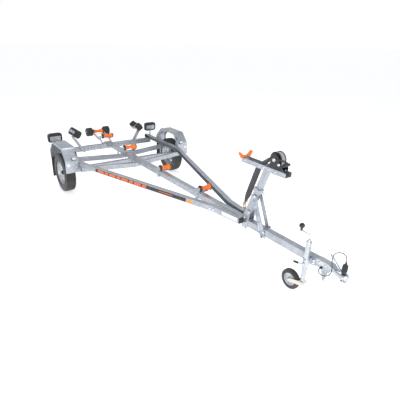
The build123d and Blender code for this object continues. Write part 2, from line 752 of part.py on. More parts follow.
def winch_post_struts():
    """Two flat struts from the post's collar down to the spine's sides."""
    wall = 6
    inner = max(POST_LOWER_SIZE / 2 + 8, SPINE_HALF + 3)
    top = (POST_FOOT[0] - 98, POST_FOOT[1] + 236)
    foot = (POST_FOOT[0] - 290, SPINE_BOTTOM - 26)
    outline = [
        (top[0] + 22, top[1] + 16),
        (foot[0] + 26, foot[1]),
        (foot[0] - 22, foot[1]),
        (top[0] - 26, top[1] + 16),
    ]
    pieces = []
    for side in (-1, 1):
        span = sorted((side * inner, side * (inner + wall)))
        strut = side_plate(outline, span)
        lip = side_plate(offset_edge(outline, 6), sorted((side * inner, side * (inner + 28))))
        pieces.append(strut + lip)
    return pieces


def offset_edge(outline, width):
    """Narrow strip along the rear edge of a four-sided outline."""
    upper, lower = outline[0], outline[1]
    return [upper, lower, (lower[0] - width, lower[1]), (upper[0] - width, upper[1])]


def winch_channel():
    """Upturned channel on the post's head: winch at its front, bow stop at its rear."""
    half = HEAD_WIDTH / 2
    wall = 4
    channel = block((-half, half), (HEAD_FRONT, HEAD_REAR), (HEAD_BASE, HEAD_BASE + HEAD_DEPTH))
    hollow = block((wall - half, half - wall), (HEAD_FRONT - 1, HEAD_REAR + 1), (HEAD_BASE + wall, 2000))
    channel -= hollow
    slot_y = (POST_HEAD[0] + 70, POST_HEAD[0] + 130)
    return channel - block((-STRAP_WIDTH / 2 - 4, STRAP_WIDTH / 2 + 4), slot_y, (HEAD_BASE - 1, HEAD_BASE + 10))


def bow_stop():
    """V-shaped polyurethane block that receives the bow, on a cross bolt."""
    z = HEAD_BASE + HEAD_DEPTH + 4
    y = HEAD_REAR - 20
    outline = [(-78, 58), (-22, 14), (22, 14), (78, 58), (88, 40), (50, -14), (-50, -14), (-88, 40)]
    plane = Plane(origin=(0, y + 26, z), x_dir=(-1, 0, 0), z_dir=(0, 1, 0))
    stop = extrude(plane * make_face(Polyline(*outline, close=True)), 34)
    stem = block((-16, 16), (y - 20, y + 26), (z - 42, z - 8))
    return Pos(0, -20, 18) * stop + Pos(0, 0, 0) * stem + block((-16, 16), (y - 20, y + 26), (z - 8, z + 6))


def winch_frame():
    """Two side plates and a base that carry the drum's pin."""
    y, z = DRUM_AXIS
    base_z = HEAD_BASE + HEAD_DEPTH
    inner = DRUM_WIDTH / 2 + 5
    outline = [
        (y + 80, base_z),
        (y + 78, base_z + 12),
        (y + 26, z + 24),
        (y - 26, z + 24),
        (y - 100, base_z + 30),
        (y - 100, base_z),
    ]
    frame = block((-inner - 4, inner + 4), (y - 100, y + 10), (base_z, base_z + 4))
    for side in both_sides(side_plate(outline, (inner, inner + 4))):
        frame += side
    return frame + cross_rod(inner + 14, y, z, DRUM_PIN_RADIUS)


def winch_drum():
    """Drum with two flanges and the wound webbing, turning on its pin."""
    half = DRUM_WIDTH / 2
    bore = DRUM_PIN_RADIUS + RUNNING_CLEARANCE
    wall = 3
    outline = [
        (-half, bore),
        (half, bore),
        (half, DRUM_FLANGE_RADIUS),
        (half - wall, DRUM_FLANGE_RADIUS),
        (half - wall, DRUM_ROLL_RADIUS),
        (wall - half, DRUM_ROLL_RADIUS),
        (wall - half, DRUM_FLANGE_RADIUS),
        (-half, DRUM_FLANGE_RADIUS),
    ]
    return Pos(0, *DRUM_AXIS) * turned(outline)


STRAP_TOP = (DRUM_AXIS[0] + DRUM_ROLL_RADIUS + 4, DRUM_AXIS[1] + 6)
STRAP_TURN = (POST_HEAD[0] + 112, HEAD_BASE + 8)
STRAP_END = (POST_FOOT[0] + 58, 705.0)


def hook_bend_place():
    """Middle of the hook's bend in Y and Z."""
    return STRAP_END[0] + 10, STRAP_END[1] - 62


def parking_ring_place():
    """Middle of the parking ring in Y and Z: its wire lies in the bottom of the hook's bend."""
    y, z = hook_bend_place()
    return y, z - HOOK_RADIUS + 2 * HOOK_WIRE + 0.5 - RING_RADIUS


def winch_strap():
    """Taut webbing from the drum through the head to the hook."""
    flat = side_band([STRAP_TOP, STRAP_TURN], STRAP_THICKNESS, (-STRAP_WIDTH / 2, STRAP_WIDTH / 2))
    drop = side_band([STRAP_TURN, STRAP_END], STRAP_THICKNESS, (-STRAP_WIDTH / 2, STRAP_WIDTH / 2))
    return flat + drop


def strap_hook():
    """Snap hook on the end of the webbing, with its eye round the sewn loop."""
    y, z = STRAP_END
    eye = rod((-30, y, z - 6), (30, y, z - 6), 6)
    shank = rod((0, y, z - 8), (0, y + 14, z - 44), 7)
    bend = Location((0, *hook_bend_place()), (0, 90, 0)) * Torus(HOOK_RADIUS, HOOK_WIRE)
    return eye + shank + bend


# ---- jockey wheel ------------------------------------------------------------------------------
def jockey_axle():
    """Jockey wheel's axle in Y and Z, so that the wheel meets the ground once pitched."""
    pitch = math.radians(CHASSIS_PITCH)
    y = JOCKEY_Y + JOCKEY_TRAIL
    drop = JOCKEY_WHEEL_RADIUS - WHEEL_RADIUS - y * math.sin(pitch)
    return y, WHEEL_RADIUS + drop / math.cos(pitch)


def jockey_clamp():
    """Bracket bolted on the spine's right side, clamped round the jockey tube."""
    z_span = (SPINE_BOTTOM - 8, SPINE_BOTTOM + 52)
    tube = JOCKEY_TUBE_RADIUS
    plate = block((-SPINE_HALF - 6, -SPINE_HALF), (JOCKEY_Y - 62, JOCKEY_Y + 62), z_span)
    arm = block((JOCKEY_X, -SPINE_HALF - 6), (JOCKEY_Y - 22, JOCKEY_Y + 22), z_span)
    collar = rod((JOCKEY_X, JOCKEY_Y, z_span[0]), (JOCKEY_X, JOCKEY_Y, z_span[1]), tube + 7)
    bore = rod((JOCKEY_X, JOCKEY_Y, z_span[0] - 1), (JOCKEY_X, JOCKEY_Y, z_span[1] + 1), tube)
    lever_x = JOCKEY_X - tube - 22
    bolt = rod((JOCKEY_X - tube - 4, JOCKEY_Y, SPINE_BOTTOM + 10), (lever_x, JOCKEY_Y, SPINE_BOTTOM + 10), 6)
    lever = rod((lever_x, JOCKEY_Y - 8, SPINE_BOTTOM + 10), (lever_x - 10, JOCKEY_Y + 88, SPINE_BOTTOM - 2), 6)
    return plate + arm + collar + bolt + lever - bore


def jockey_outer_tube():
    """Clamped outer tube of the jockey wheel."""
    axis = ((JOCKEY_X, JOCKEY_Y, JOCKEY_TUBE_BOTTOM), (JOCKEY_X, JOCKEY_Y, JOCKEY_TUBE_TOP))
    tube = rod(*axis, JOCKEY_TUBE_RADIUS)
    low = (JOCKEY_X, JOCKEY_Y, JOCKEY_TUBE_BOTTOM - 1)
    high = (JOCKEY_X, JOCKEY_Y, JOCKEY_TUBE_TOP - 8)
    return tube - rod(low, high, JOCKEY_BORE)


def jockey_crank():
    """Folded crank on the tube's top with its upright knob."""
    top = JOCKEY_TUBE_TOP
    neck = rod((JOCKEY_X, JOCKEY_Y, top), (JOCKEY_X, JOCKEY_Y, top + 22), 10)
    neck += rod((JOCKEY_X, JOCKEY_Y, top + 22), (JOCKEY_X, JOCKEY_Y, top + 64), 6)
    elbow = (JOCKEY_X, JOCKEY_Y, top + 60)
    grip = (JOCKEY_X, JOCKEY_Y + 100, top + 66)
    arm = rod(elbow, grip, 6)
    knob = rod((grip[0], grip[1], grip[2] - 6), (grip[0], grip[1], grip[2] + 62), 9)
    return neck + arm + knob + Pos(grip[0], grip[1], grip[2] + 48) * Sphere(20)


def jockey_leg():
    """Sliding inner tube with the spigot that its fork swivels on."""
    foot = jockey_axle()[1] + JOCKEY_FORK_RISE
    top = JOCKEY_TUBE_TOP - 20 - JOCKEY_LIFT
    assert top - JOCKEY_DROP > JOCKEY_TUBE_BOTTOM, "the leg stays in its tube when lowered"
    tube = rod((JOCKEY_X, JOCKEY_Y, foot + 2), (JOCKEY_X, JOCKEY_Y, top), JOCKEY_INNER_RADIUS)
    spigot = rod((JOCKEY_X, JOCKEY_Y, foot - 34), (JOCKEY_X, JOCKEY_Y, foot + 3), JOCKEY_SPIGOT_RADIUS)
    washer = rod((JOCKEY_X, JOCKEY_Y, foot - 40), (JOCKEY_X, JOCKEY_Y, foot - 33), JOCKEY_SPIGOT_RADIUS + 6)
    return tube + spigot + washer


def jockey_fork():
    """Swivelling fork that trails the jockey wheel behind its leg."""
    y, z = jockey_axle()
    foot = z + JOCKEY_FORK_RISE
    half = JOCKEY_WHEEL_WIDTH / 2 + 4
    hub = rod((JOCKEY_X, JOCKEY_Y, foot - 31), (JOCKEY_X, JOCKEY_Y, foot), JOCKEY_TUBE_RADIUS)
    bridge = block(
        (JOCKEY_X - half - 5, JOCKEY_X + half + 5), (JOCKEY_Y - 20, JOCKEY_Y + 24), (foot - 31, foot)
    )
    outline = [
        (JOCKEY_Y - 20, foot - 31),
        (y - 4, z - 16),
        (y + 16, z - 8),
        (y + 16, z + 10),
        (y, z + 16),
        (JOCKEY_Y + 24, foot),
        (JOCKEY_Y - 20, foot),
    ]
    fork = hub + bridge
    for side in (-1, 1):
        fork += side_plate(outline, sorted((JOCKEY_X + side * half, JOCKEY_X + side * (half + 5))))
    fork += rod((JOCKEY_X - half - 14, y, z), (JOCKEY_X + half + 14, y, z), JOCKEY_AXLE_RADIUS)
    bore = JOCKEY_SPIGOT_RADIUS + RUNNING_CLEARANCE
    return fork - rod((JOCKEY_X, JOCKEY_Y, foot - 32), (JOCKEY_X, JOCKEY_Y, foot + 1), bore)


def jockey_tyre():
    """Solid rubber tyre of the jockey wheel."""
    y, z = jockey_axle()
    half = JOCKEY_WHEEL_WIDTH / 2
    radius = JOCKEY_WHEEL_RADIUS
    seat = radius - 38
    outline = [
        (-half + 5, seat),
        (half - 5, seat),
        (half, seat + 12),
        (half, radius - 14),
        (half - 10, radius - 2),
        (half - 16, radius),
        (16 - half, radius),
        (10 - half, radius - 2),
        (-half, radius - 14),
        (-half, seat + 12),
    ]
    return Pos(JOCKEY_X, y, z) * turned(outline)


def jockey_rim():
    """Steel centre of the jockey wheel, turning on its axle."""
    y, z = jockey_axle()
    seat = JOCKEY_WHEEL_RADIUS - 38
    half = JOCKEY_WHEEL_WIDTH / 2
    bore = JOCKEY_AXLE_RADIUS + RUNNING_CLEARANCE
    outline = [
        (-half, bore),
        (half, bore),
        (half, 18),
        (6, 22),
        (6, seat - 12),
        (half - 7, seat - 5),
        (half - 7, seat),
        (7 - half, seat),
        (7 - half, seat - 5),
        (-6, seat - 12),
        (-6, 22),
        (-half, 18),
    ]
    return Pos(JOCKEY_X, y, z) * turned(outline)


# ---- coupling ------------------------------------------------------------------------------------
COUPLING_BALL_RADIUS = 25.0
COUPLING_BALL_Y = SPINE_FRONT - 130
COUPLING_BALL_Z = SPINE_MID - 22
PLUG_LENGTH = 92.0


def coupling_head():
    """Ball coupling: a shank bolted on the spine's end and a cup for a 50 mm ball."""
    half = SPINE_HALF + 5
    shank_y = (SPINE_FRONT, SPINE_FRONT + 135)
    shank = block((-half, half), shank_y, (SPINE_TOP, SPINE_TOP + 6))
    for side in both_sides(
        block((SPINE_HALF, half), shank_y, (SPINE_MID - 6, SPINE_TOP + 6))
    ):
        shank += side
    neck = side_plate(
        [
            (SPINE_FRONT, SPINE_TOP + 6),
            (SPINE_FRONT, SPINE_MID - 6),
            (COUPLING_BALL_Y, SPINE_MID - 26),
            (COUPLING_BALL_Y, SPINE_MID + 22),
        ],
        (-SPINE_HALF + 3, SPINE_HALF - 3),
    )
    ball_z = COUPLING_BALL_Z
    cup = rod((0, COUPLING_BALL_Y, ball_z - 26), (0, COUPLING_BALL_Y, ball_z + 46), 42)
    socket = rod((0, COUPLING_BALL_Y, ball_z - 30), (0, COUPLING_BALL_Y, ball_z + 8), COUPLING_BALL_RADIUS)
    socket += Pos(0, COUPLING_BALL_Y, ball_z + 8) * Sphere(COUPLING_BALL_RADIUS)
    x, y, z = CABLE_ROUTE[-1]
    parking = rod((x, y, ball_z + 44), (x, y, z - PLUG_LENGTH), 14)
    return shank + neck + cup + parking - socket


def coupling_handle():
    """Lifting handle on the coupling's top."""
    z = SPINE_MID + 22
    lower = (COUPLING_BALL_Y + 56, z + 32)
    upper = (COUPLING_BALL_Y + 164, z + 128)
    outline = [
        (lower[0] - 36, lower[1] - 38),
        (lower[0] + 20, lower[1] - 22),
        (upper[0] + 10, upper[1] - 16),
        (upper[0] + 8, upper[1] + 4),
        (upper[0] - 6, upper[1] + 8),
        (lower[0] - 16, lower[1] + 8),
        (lower[0] - 46, lower[1] - 16),
    ]
    return side_plate(outline, (-16, 16)) - coupling_head()


def plug_holder():
    """Parking bracket under the spine's nose."""
    outline = [
        (SPINE_FRONT + 9, SPINE_BOTTOM),
        (SPINE_FRONT + 79, SPINE_BOTTOM),
        (SPINE_FRONT + 63, SPINE_BOTTOM - 60),
        (SPINE_FRONT + 51, SPINE_BOTTOM - 106),
        (SPINE_FRONT + 33, SPINE_BOTTOM - 106),
        (SPINE_FRONT + 21, SPINE_BOTTOM - 50),
    ]
    foot = block((-30, 30), (SPINE_FRONT + 9, SPINE_FRONT + 79), (SPINE_BOTTOM - 6, SPINE_BOTTOM))
    return side_plate(outline, (-30, -24)) + foot


def trailer_plug():
    """Seven-pin plug parked upright on the coupling's nose."""
    end = CABLE_ROUTE[-1]
    body = rod((end[0], end[1], end[2]), (end[0], end[1], end[2] - 26), 12)
    body += rod((end[0], end[1], end[2] - 26), (end[0], end[1], end[2] - PLUG_LENGTH), 24)
    return body


def route_radii(route):
    """Arc radius at each inner corner: 0.45 of the shorter run over the tangent of half the turn."""
    radii = []
    for before, here, after in zip(route, route[1:], route[2:]):
        into = Vector(*here) - Vector(*before)
        out = Vector(*after) - Vector(*here)
        turn = math.radians(into.get_angle(out))
        radii.append(0.45 * min(into.length, out.length) / math.tan(turn / 2))
    return radii


def cord(route, diameter, name):
    """Round cord along straight runs joined by tangent arcs."""
    radii = route_radii(route)
    path = FilletPolyline(*route, radius=radii)
    start = Plane(origin=path @ 0, z_dir=path % 0)
    print(name, "length", round(path.length, 1), "smallest radius", round(min(radii), 1))
    return sweep(start * Circle(diameter / 2), path=path)


# ---- the whole trailer ----------------------------------------------------------------------------
def collect():
    """Every node by name, in the level chassis frame."""
    nodes = {
        "spine_beam": spine_beam(),
        "keel_tube": keel_tube(),
        "side_member_left": side_member(),
        "side_member_right": mirror(side_member(), about=Plane.YZ),
        "rear_cross_beam": rear_cross_beam(),
        "middle_cross_member": v_cross_member(MIDDLE_CROSS_Y, KEEL_TUBE_SIZE / 2),
        "front_cross_member": v_cross_member(FRONT_CROSS_Y, SPINE_HALF),
        "axle_tube": axle_tube(),
        "torsion_arms": both_sides(torsion_arm()),
        "fender_left": fender(),
        "fender_right": mirror(fender(), about=Plane.YZ),
        "mudflaps": both_sides(mudflap()),
        "tail_lamps": both_sides(tail_lamp()),
        "tail_lamp_brackets": both_sides(tail_lamp_bracket()),
        "marker_lamps": both_sides(marker_lamp()),
        "cradle_mount": cradle_mount(),
        "cradle_frame": cradle_frame(),
        "cradle_roller_front": cradle_roller(CRADLE_FRONT),
        "cradle_roller_rear": cradle_roller(CRADLE_REAR),
        "cradle_side_rollers": cradle_side_rollers(),
        "winch_post_base": winch_post_base(),
        "winch_post_lower": winch_post_lower(),
        "winch_post_upper": winch_post_upper(),
        "winch_post_struts": winch_post_struts(),
        "winch_channel": winch_channel(),
        "bow_stop": bow_stop(),
        "winch_frame": winch_frame(),
        "winch_drum": winch_drum(),
        "winch_strap": winch_strap(),
        "strap_hook": strap_hook(),
        "jockey_clamp": jockey_clamp(),
        "jockey_outer_tube": jockey_outer_tube(),
        "jockey_crank": jockey_crank(),
        "jockey_leg": jockey_leg(),
        "jockey_fork": jockey_fork(),
        "jockey_tyre": jockey_tyre(),
        "jockey_rim": jockey_rim(),
        "coupling_head": coupling_head(),
        "coupling_handle": coupling_handle(),
        "plug_holder": plug_holder(),
        "trailer_plug": trailer_plug(),
        "light_cable": cord(CABLE_ROUTE, CABLE_DIAMETER, "light_cable"),
        "safety_wire": cord(WIRE_ROUTE, WIRE_DIAMETER, "safety_wire"),
    }
    brackets = []
    for piece in fender_brackets():
        brackets += both_sides(piece)
    nodes["fender_brackets"] = brackets
    for side, outboard in (("left", 1), ("right", -1)):
        nodes[f"tyre_{side}"] = tyre(outboard)
        nodes[f"rim_{side}"] = rim(outboard)
    for label, (y, z, length) in zip(("front", "middle", "rear"), SPINE_ROLLERS):
        nodes[f"keel_roller_{label}"] = keel_roller(y, z, length)
    nodes["keel_roller_brackets"] = [spine_roller_bracket(*place) for place in SPINE_ROLLERS]
    nodes["hull_roller_posts"] = both_sides(hull_roller_post())
    for end, side in (("front", -1), ("rear", 1)):
        roller = hull_roller(side)
        nodes[f"hull_roller_{end}_left"] = roller
        nodes[f"hull_roller_{end}_right"] = mirror(roller, about=Plane.YZ)
    nodes["hull_bogie_left"] = hull_bogie()
    nodes["hull_bogie_right"] = mirror(hull_bogie(), about=Plane.YZ)
    return nodes


def pitched(shape):
    """A piece turned with the chassis about the axle."""
    return Location((0, 0, WHEEL_RADIUS)) * Rot(CHASSIS_PITCH, 0, 0) * Pos(0, 0, -WHEEL_RADIUS) * shape


def solids_of(shape):
    """Flat list of the solids in a piece or a list of pieces."""
    pieces = shape if isinstance(shape, list) else [shape]
    return [solid for piece in pieces for solid in piece.solids()]


def build():
    """Pitch every node, centre the trailer over the origin and return the compounds."""
    parked = {}
    for name, shape in collect().items():
        parked[name] = Compound(children=[pitched(solid) for solid in solids_of(shape)])
    box = Compound(children=[solid for part in parked.values() for solid in part.solids()]).bounding_box()
    shift = Pos(0, -(box.min.Y + box.max.Y) / 2, 0)
    print("length", round(box.size.Y, 1), "width", round(box.size.X, 1), "height", round(box.size.Z, 1))
    print("axle at y", round(shift.position.Y, 3), "lowest point", round(box.min.Z, 3))
    return {name: shift * Compound(children=part.solids()) for name, part in parked.items()}


PARTS = build()
os.makedirs("parts", exist_ok=True)
for node_name, node_shape in PARTS.items():
    export_step(node_shape, f"parts/{node_name}.step")
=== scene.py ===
"""Looks of a single-axle boat trailer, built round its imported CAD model.

Shapes are worked out in the level chassis frame, in millimetres: X to the trailer's left, Y to its
rear from over the wheel axle, and Z up. Chassis turns them into the row frame, in metres, where the
chassis is pitched nose-down on its jockey wheel.
"""

import json
import logging
import math
from dataclasses import dataclass
from enum import Enum
from typing import Iterable, Sequence

import bmesh
import bpy
import numpy as np
from mathutils import Matrix


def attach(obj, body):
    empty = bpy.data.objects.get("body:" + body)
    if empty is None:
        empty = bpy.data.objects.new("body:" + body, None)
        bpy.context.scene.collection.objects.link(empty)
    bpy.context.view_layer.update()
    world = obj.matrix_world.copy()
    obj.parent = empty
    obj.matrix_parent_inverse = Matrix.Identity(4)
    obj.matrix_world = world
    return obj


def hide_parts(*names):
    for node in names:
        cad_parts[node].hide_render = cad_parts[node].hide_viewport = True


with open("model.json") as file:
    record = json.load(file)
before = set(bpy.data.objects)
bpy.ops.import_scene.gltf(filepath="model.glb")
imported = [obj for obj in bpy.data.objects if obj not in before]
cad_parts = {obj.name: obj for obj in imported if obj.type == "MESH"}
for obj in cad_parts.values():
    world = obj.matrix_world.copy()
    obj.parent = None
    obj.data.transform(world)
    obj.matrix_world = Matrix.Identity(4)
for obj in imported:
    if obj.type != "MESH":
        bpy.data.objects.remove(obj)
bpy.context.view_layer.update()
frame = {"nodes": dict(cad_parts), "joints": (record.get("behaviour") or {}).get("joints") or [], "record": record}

LOG = logging.getLogger("boat_trailer")
MM = 0.001
Vec = Sequence[float]
RIGHT = np.array((1.0, 0.0, 0.0))


# ---- places ----------------------------------------------------------------------------------
@dataclass(frozen=True)
class Chassis:
    """Turns level chassis millimetres into row metres, and back."""

    axle: np.ndarray
    up: np.ndarray

    @classmethod
    def from_frame(cls) -> "Chassis":
        """Reads the axle's place and the chassis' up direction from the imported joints.

        Returns:
            The chassis frame.
        """
        joints = {joint["name"]: joint for joint in frame["joints"]}
        axle = np.array(joints["wheel_left_spin"]["pos_m"], float)
        axle[0] = 0.0
        return cls(axle, np.array(joints["jockey_slide"]["axis"], float))

    @property
    def axes(self) -> np.ndarray:
        """Rows are the chassis' X, Y and Z directions in the row frame."""
        return np.stack((RIGHT, np.cross(self.up, RIGHT), self.up))

    def to_row(self, points: np.ndarray) -> np.ndarray:
        """Chassis millimetres to row metres: scale, turn about the axle, then move.

        Args:
            points: array whose last axis is X, Y, Z in chassis millimetres.

        Returns:
            The same array in row metres.
        """
        level = np.asarray(points, float) * MM - (0.0, 0.0, self.axle[2])
        return level @ self.axes + self.axle

    def place_of(self, joint: str) -> np.ndarray:
        """A joint's point in chassis millimetres.

        Args:
            joint: name of the joint in the record.

        Returns:
            X, Y and Z of the joint.
        """
        found = next(j for j in frame["joints"] if j["name"] == joint)
        level = (np.array(found["pos_m"], float) - self.axle) @ self.axes.T
        return (level + (0.0, 0.0, self.axle[2])) / MM

    def axis_of(self, joint: str) -> np.ndarray:
        """A joint's axis as a direction in the chassis frame.

        Args:
            joint: name of the joint in the record.

        Returns:
            X, Y and Z of the direction.
        """
        found = next(j for j in frame["joints"] if j["name"] == joint)
        return self.axes @ np.array(found["axis"], float)


CHASSIS = Chassis.from_frame()


# ---- surfaces --------------------------------------------------------------------------------
@dataclass(frozen=True)
class Surface:
    """Points, and blocks of faces that have the same number of corners."""

    points: np.ndarray
    faces: tuple[np.ndarray, ...]

    def moved(self, x: float = 0.0, y: float = 0.0, z: float = 0.0) -> "Surface":
        """A copy moved by x, y and z."""
        return Surface(self.points + (x, y, z), self.faces)

    def placed(self, origin: Vec, axis: Vec, hint: Vec = (0, 0, 1)) -> "Surface":
        """A copy whose own X lies along axis.

        Args:
            origin: where the copy's own origin goes.
            axis: direction of its X.
            hint: direction that its Z comes as near to as it can.

        Returns:
            The turned and moved surface.
        """
        x = np.array(axis, float) / np.linalg.norm(axis)
        y = np.cross(hint, x)
        if np.linalg.norm(y) < 1e-6:
            y = np.cross((0, 1, 0), x)
        y = y / np.linalg.norm(y)
        turn = np.stack((x, y, np.cross(x, y)))
        return Surface(self.points @ turn + np.array(origin, float), self.faces)

    def mirrored(self) -> "Surface":
        """The same surface on the trailer's other side, faces still outward."""
        return Surface(self.points * (-1, 1, 1), tuple(block[:, ::-1] for block in self.faces))


def join(parts: Iterable[Surface]) -> Surface:
    """One surface of many: points in one array, each block's corner numbers moved up.

    Args:
        parts: the surfaces.

    Returns:
        The surfaces as one.
    """
    parts = list(parts)
    starts = np.cumsum([0] + [len(part.points) for part in parts])
    blocks = [block + start for part, start in zip(parts, starts) for block in part.faces]
    return Surface(np.concatenate([part.points for part in parts]), tuple(blocks))


def paired(*parts: Surface) -> Surface:
    """Parts of the left side joined with their mirror images."""
    left = join(parts)
    return join((left, left.mirrored()))


def grid(points: np.ndarray, wrap_rows: bool = False, wrap_columns: bool = False) -> Surface:
    """Quads between neighbouring points of a (rows, columns, 3) array.

    Args:
        points: the array of points.
        wrap_rows: whether the last row meets the first.
        wrap_columns: whether the last column meets the first.

    Returns:
        The surface.
    """
    rows, columns = points.shape[:2]
    index = np.arange(rows * columns).reshape(rows, columns)
    index = np.vstack((index, index[:1])) if wrap_rows else index
    index = np.hstack((index, index[:, :1])) if wrap_columns else index
    corners = (index[:-1, :-1], index[1:, :-1], index[1:, 1:], index[:-1, 1:])
    return Surface(points.reshape(-1, 3), (np.stack(corners, -1).reshape(-1, 4),))


def capped(rows: np.ndarray) -> Surface:
    """Quads between the rows of a closed section, with the first and last row filled in.

    Args:
        rows: points by row, then round the section, then X, Y, Z.

    Returns:
        Closed surface.
    """
    body = grid(rows, wrap_columns=True)
    count = rows.shape[1]
    caps = np.stack((np.arange(count)[::-1], np.arange(count) + count * (len(rows) - 1)))
    return Surface(body.points, (*body.faces, caps))


def turned(x: np.ndarray, radius: np.ndarray, angle: np.ndarray) -> Surface:
    """Ring about X whose radius may change with the angle: radius times cosine and sine.

    Args:
        x: place along X of each column.
        radius: radius of each point, one row to an angle.
        angle: angle of each row, as a column.

    Returns:
        Ring closed both ways.
    """
    x = np.broadcast_to(x, radius.shape)
    points = np.stack((x, radius * np.cos(angle), radius * np.sin(angle)), -1)
    return grid(points, wrap_rows=True, wrap_columns=True)


def lathe(profile: Sequence[Vec], turns: int = 48, closed: bool = False) -> Surface:
    """Surface of revolution about X: each (x, radius) goes round as radius times cosine and sine.

    Args:
        profile: (x, radius) corners.
        turns: steps in a full turn.
        closed: whether the last corner joins the first.

    Returns:
        Turned surface.
    """
    line = np.array(profile, float)
    angle = np.linspace(0, 2 * np.pi, turns, endpoint=False)[:, None]
    x = np.broadcast_to(line[:, 0], (turns, len(line)))
    ring = np.stack((x, line[:, 1] * np.cos(angle), line[:, 1] * np.sin(angle)), -1)
    return grid(ring, wrap_rows=True, wrap_columns=closed)


def prism(outline: Sequence[Vec], span: Vec, along: int = 0) -> Surface:
    """Outline pulled straight between two values of one axis, with both ends closed.

    Args:
        outline: corners in the two other axes, in X, Y, Z order.
        span: low and high value along the pulled axis.
        along: 0, 1 or 2 for X, Y or Z.

    Returns:
        The closed surface.
    """
    line = np.array(outline, float)
    return capped(np.stack([np.insert(line, along, value, axis=1) for value in span]))


def slab(x: Vec, y: Vec, z: Vec) -> Surface:
    """Box between low and high values on each axis."""
    return prism([(y[0], z[0]), (y[1], z[0]), (y[1], z[1]), (y[0], z[1])], x)


def ring_path(path: np.ndarray, up: Vec) -> tuple[np.ndarray, np.ndarray]:
    """Side and up directions across a path: the side is square to its tangent and to up.

    Args:
        path: points along the line.
        up: direction that is never along the line.

    Returns:
        The side and the up direction at each point.
    """
    tangent = np.gradient(path, axis=0)
    tangent /= np.linalg.norm(tangent, axis=1, keepdims=True)
    side = np.cross(tangent, up)
    side /= np.linalg.norm(side, axis=1, keepdims=True)
    return side, np.cross(side, tangent)


def sweep(profile: Sequence[Vec], path: np.ndarray, up: Vec = (0, 0, 1)) -> Surface:
    """Closed (side, up) profile carried along a path, its ends closed: path + side*a + up*b.

    Args:
        profile: (side, up) corners of the section.
        path: points along the line.
        up: direction that is never along the line.

    Returns:
        Closed bar.
    """
    side, rise = ring_path(path, up)
    shape = np.array(profile, float)
    return capped(path[:, None] + side[:, None] * shape[None, :, :1] + rise[:, None] * shape[None, :, 1:])


def circle(radius: float, sides: int = 12) -> np.ndarray:
    """Points of a circle, radius times cosine and sine."""
    angle = np.linspace(0, 2 * np.pi, sides, endpoint=False)
    return radius * np.stack((np.cos(angle), np.sin(angle)), -1)


def tube(path: Sequence[Vec], radius: float, up: Vec = (0, 0, 1), sides: int = 12) -> Surface:
    """Round bar along a path."""
    return sweep(circle(radius, sides), np.array(path, float), up)


def eased(points: Sequence[Vec], radius: float, steps: int = 6) -> np.ndarray:
    """Polyline with rounded corners, each a quadratic curve that leaves its legs at radius.

    Args:
        points: corners of the line.
        radius: distance from a corner at which its curve starts, at most.
        steps: points on each curve.

    Returns:
        Points of the rounded line.
    """
    line = [np.array(point, float) for point in points]
    out = [line[0]]
    for before, here, after in zip(line, line[1:], line[2:]):
        reach = min(radius, 0.49 * np.linalg.norm(here - before), 0.49 * np.linalg.norm(after - here))
        start = here + (before - here) / np.linalg.norm(before - here) * reach
        end = here + (after - here) / np.linalg.norm(after - here) * reach
        t = np.linspace(0, 1, steps)[:, None]
        out.extend((1 - t) ** 2 * start + 2 * t * (1 - t) * here + t**2 * end)
    return np.array([*out, line[-1]])


def divided(path: np.ndarray, spacing: float) -> np.ndarray:
    """The same path with points at even distances along it.

    Args:
        path: points along the line.
        spacing: rough distance between points.

    Returns:
        The evenly spaced points.
    """
    steps = np.linalg.norm(np.diff(path, axis=0), axis=1)
    along = np.concatenate(([0], np.cumsum(steps)))
    at = np.linspace(0, along[-1], max(2, int(along[-1] / spacing) + 1))
    return np.stack([np.interp(at, along, path[:, axis]) for axis in range(path.shape[1])], -1)


def bolt(size: float, length: float = 0.0, washer: bool = True) -> Surface:
    """Hexagon head on a washer, and a nut with its thread end if the bolt has a length.

    Args:
        size: thread diameter.
        length: distance from under the head to under the nut, 0 for a head alone.
        washer: whether a washer lies under each.

    Returns:
        The bolt along X, head outward at positive X from 0.
    """
    flat = 0.95 * size
    thick = 0.18 * size if washer else 0.0
    crown = [(thick, 0.0), (thick, flat), (thick + 0.55 * size, flat)]
    crown += [(thick + 0.65 * size, 0.86 * flat), (thick + 0.65 * size, 0.0)]
    parts = [lathe(crown, 6)]
    disc = [(0.0, 0.0), (0.0, 1.2 * size), (thick, 1.2 * size), (thick, 0.0)]
    if washer:
        parts.append(lathe(disc, 20))
    if length:
        thread = [(0, 0), (0, 0.48 * size), (1.35 * size, 0.48 * size), (1.45 * size, 0.38 * size),
                  (1.45 * size, 0)]
        nut = join([*parts, lathe(thread, 12)])
        parts.append(nut.placed((-length, 0, 0), (-1, 0, 0)))
    return join(parts)


def weld(path: np.ndarray, size: float, up: Vec = (0, 0, 1)) -> Surface:
    """Weld bead: a round section whose radius ripples every 5 mm along the path.

    Args:
        path: corners of the seam.
        size: the bead's mean radius.
        up: direction that is never along the seam.

    Returns:
        Closed bead.
    """
    line = divided(np.array(path, float), 1.7)
    side, rise = ring_path(line, up)
    angle = np.linspace(0, 2 * np.pi, 8, endpoint=False)[None, :, None]
    ripple = size * (1 + 0.16 * np.sin(np.arange(len(line)) * 2 * np.pi / 3))[:, None, None]
    return capped(line[:, None] + ripple * (side[:, None] * np.cos(angle) + rise[:, None] * np.sin(angle)))


# ---- finishes --------------------------------------------------------------------------------
class Pattern(Enum):
    """Kinds of surface grain."""

    SPANGLE = "spangle"
    PLATED = "plated"
    PAINTED = "painted"
    MOULDED = "moulded"
    WOVEN = "woven"


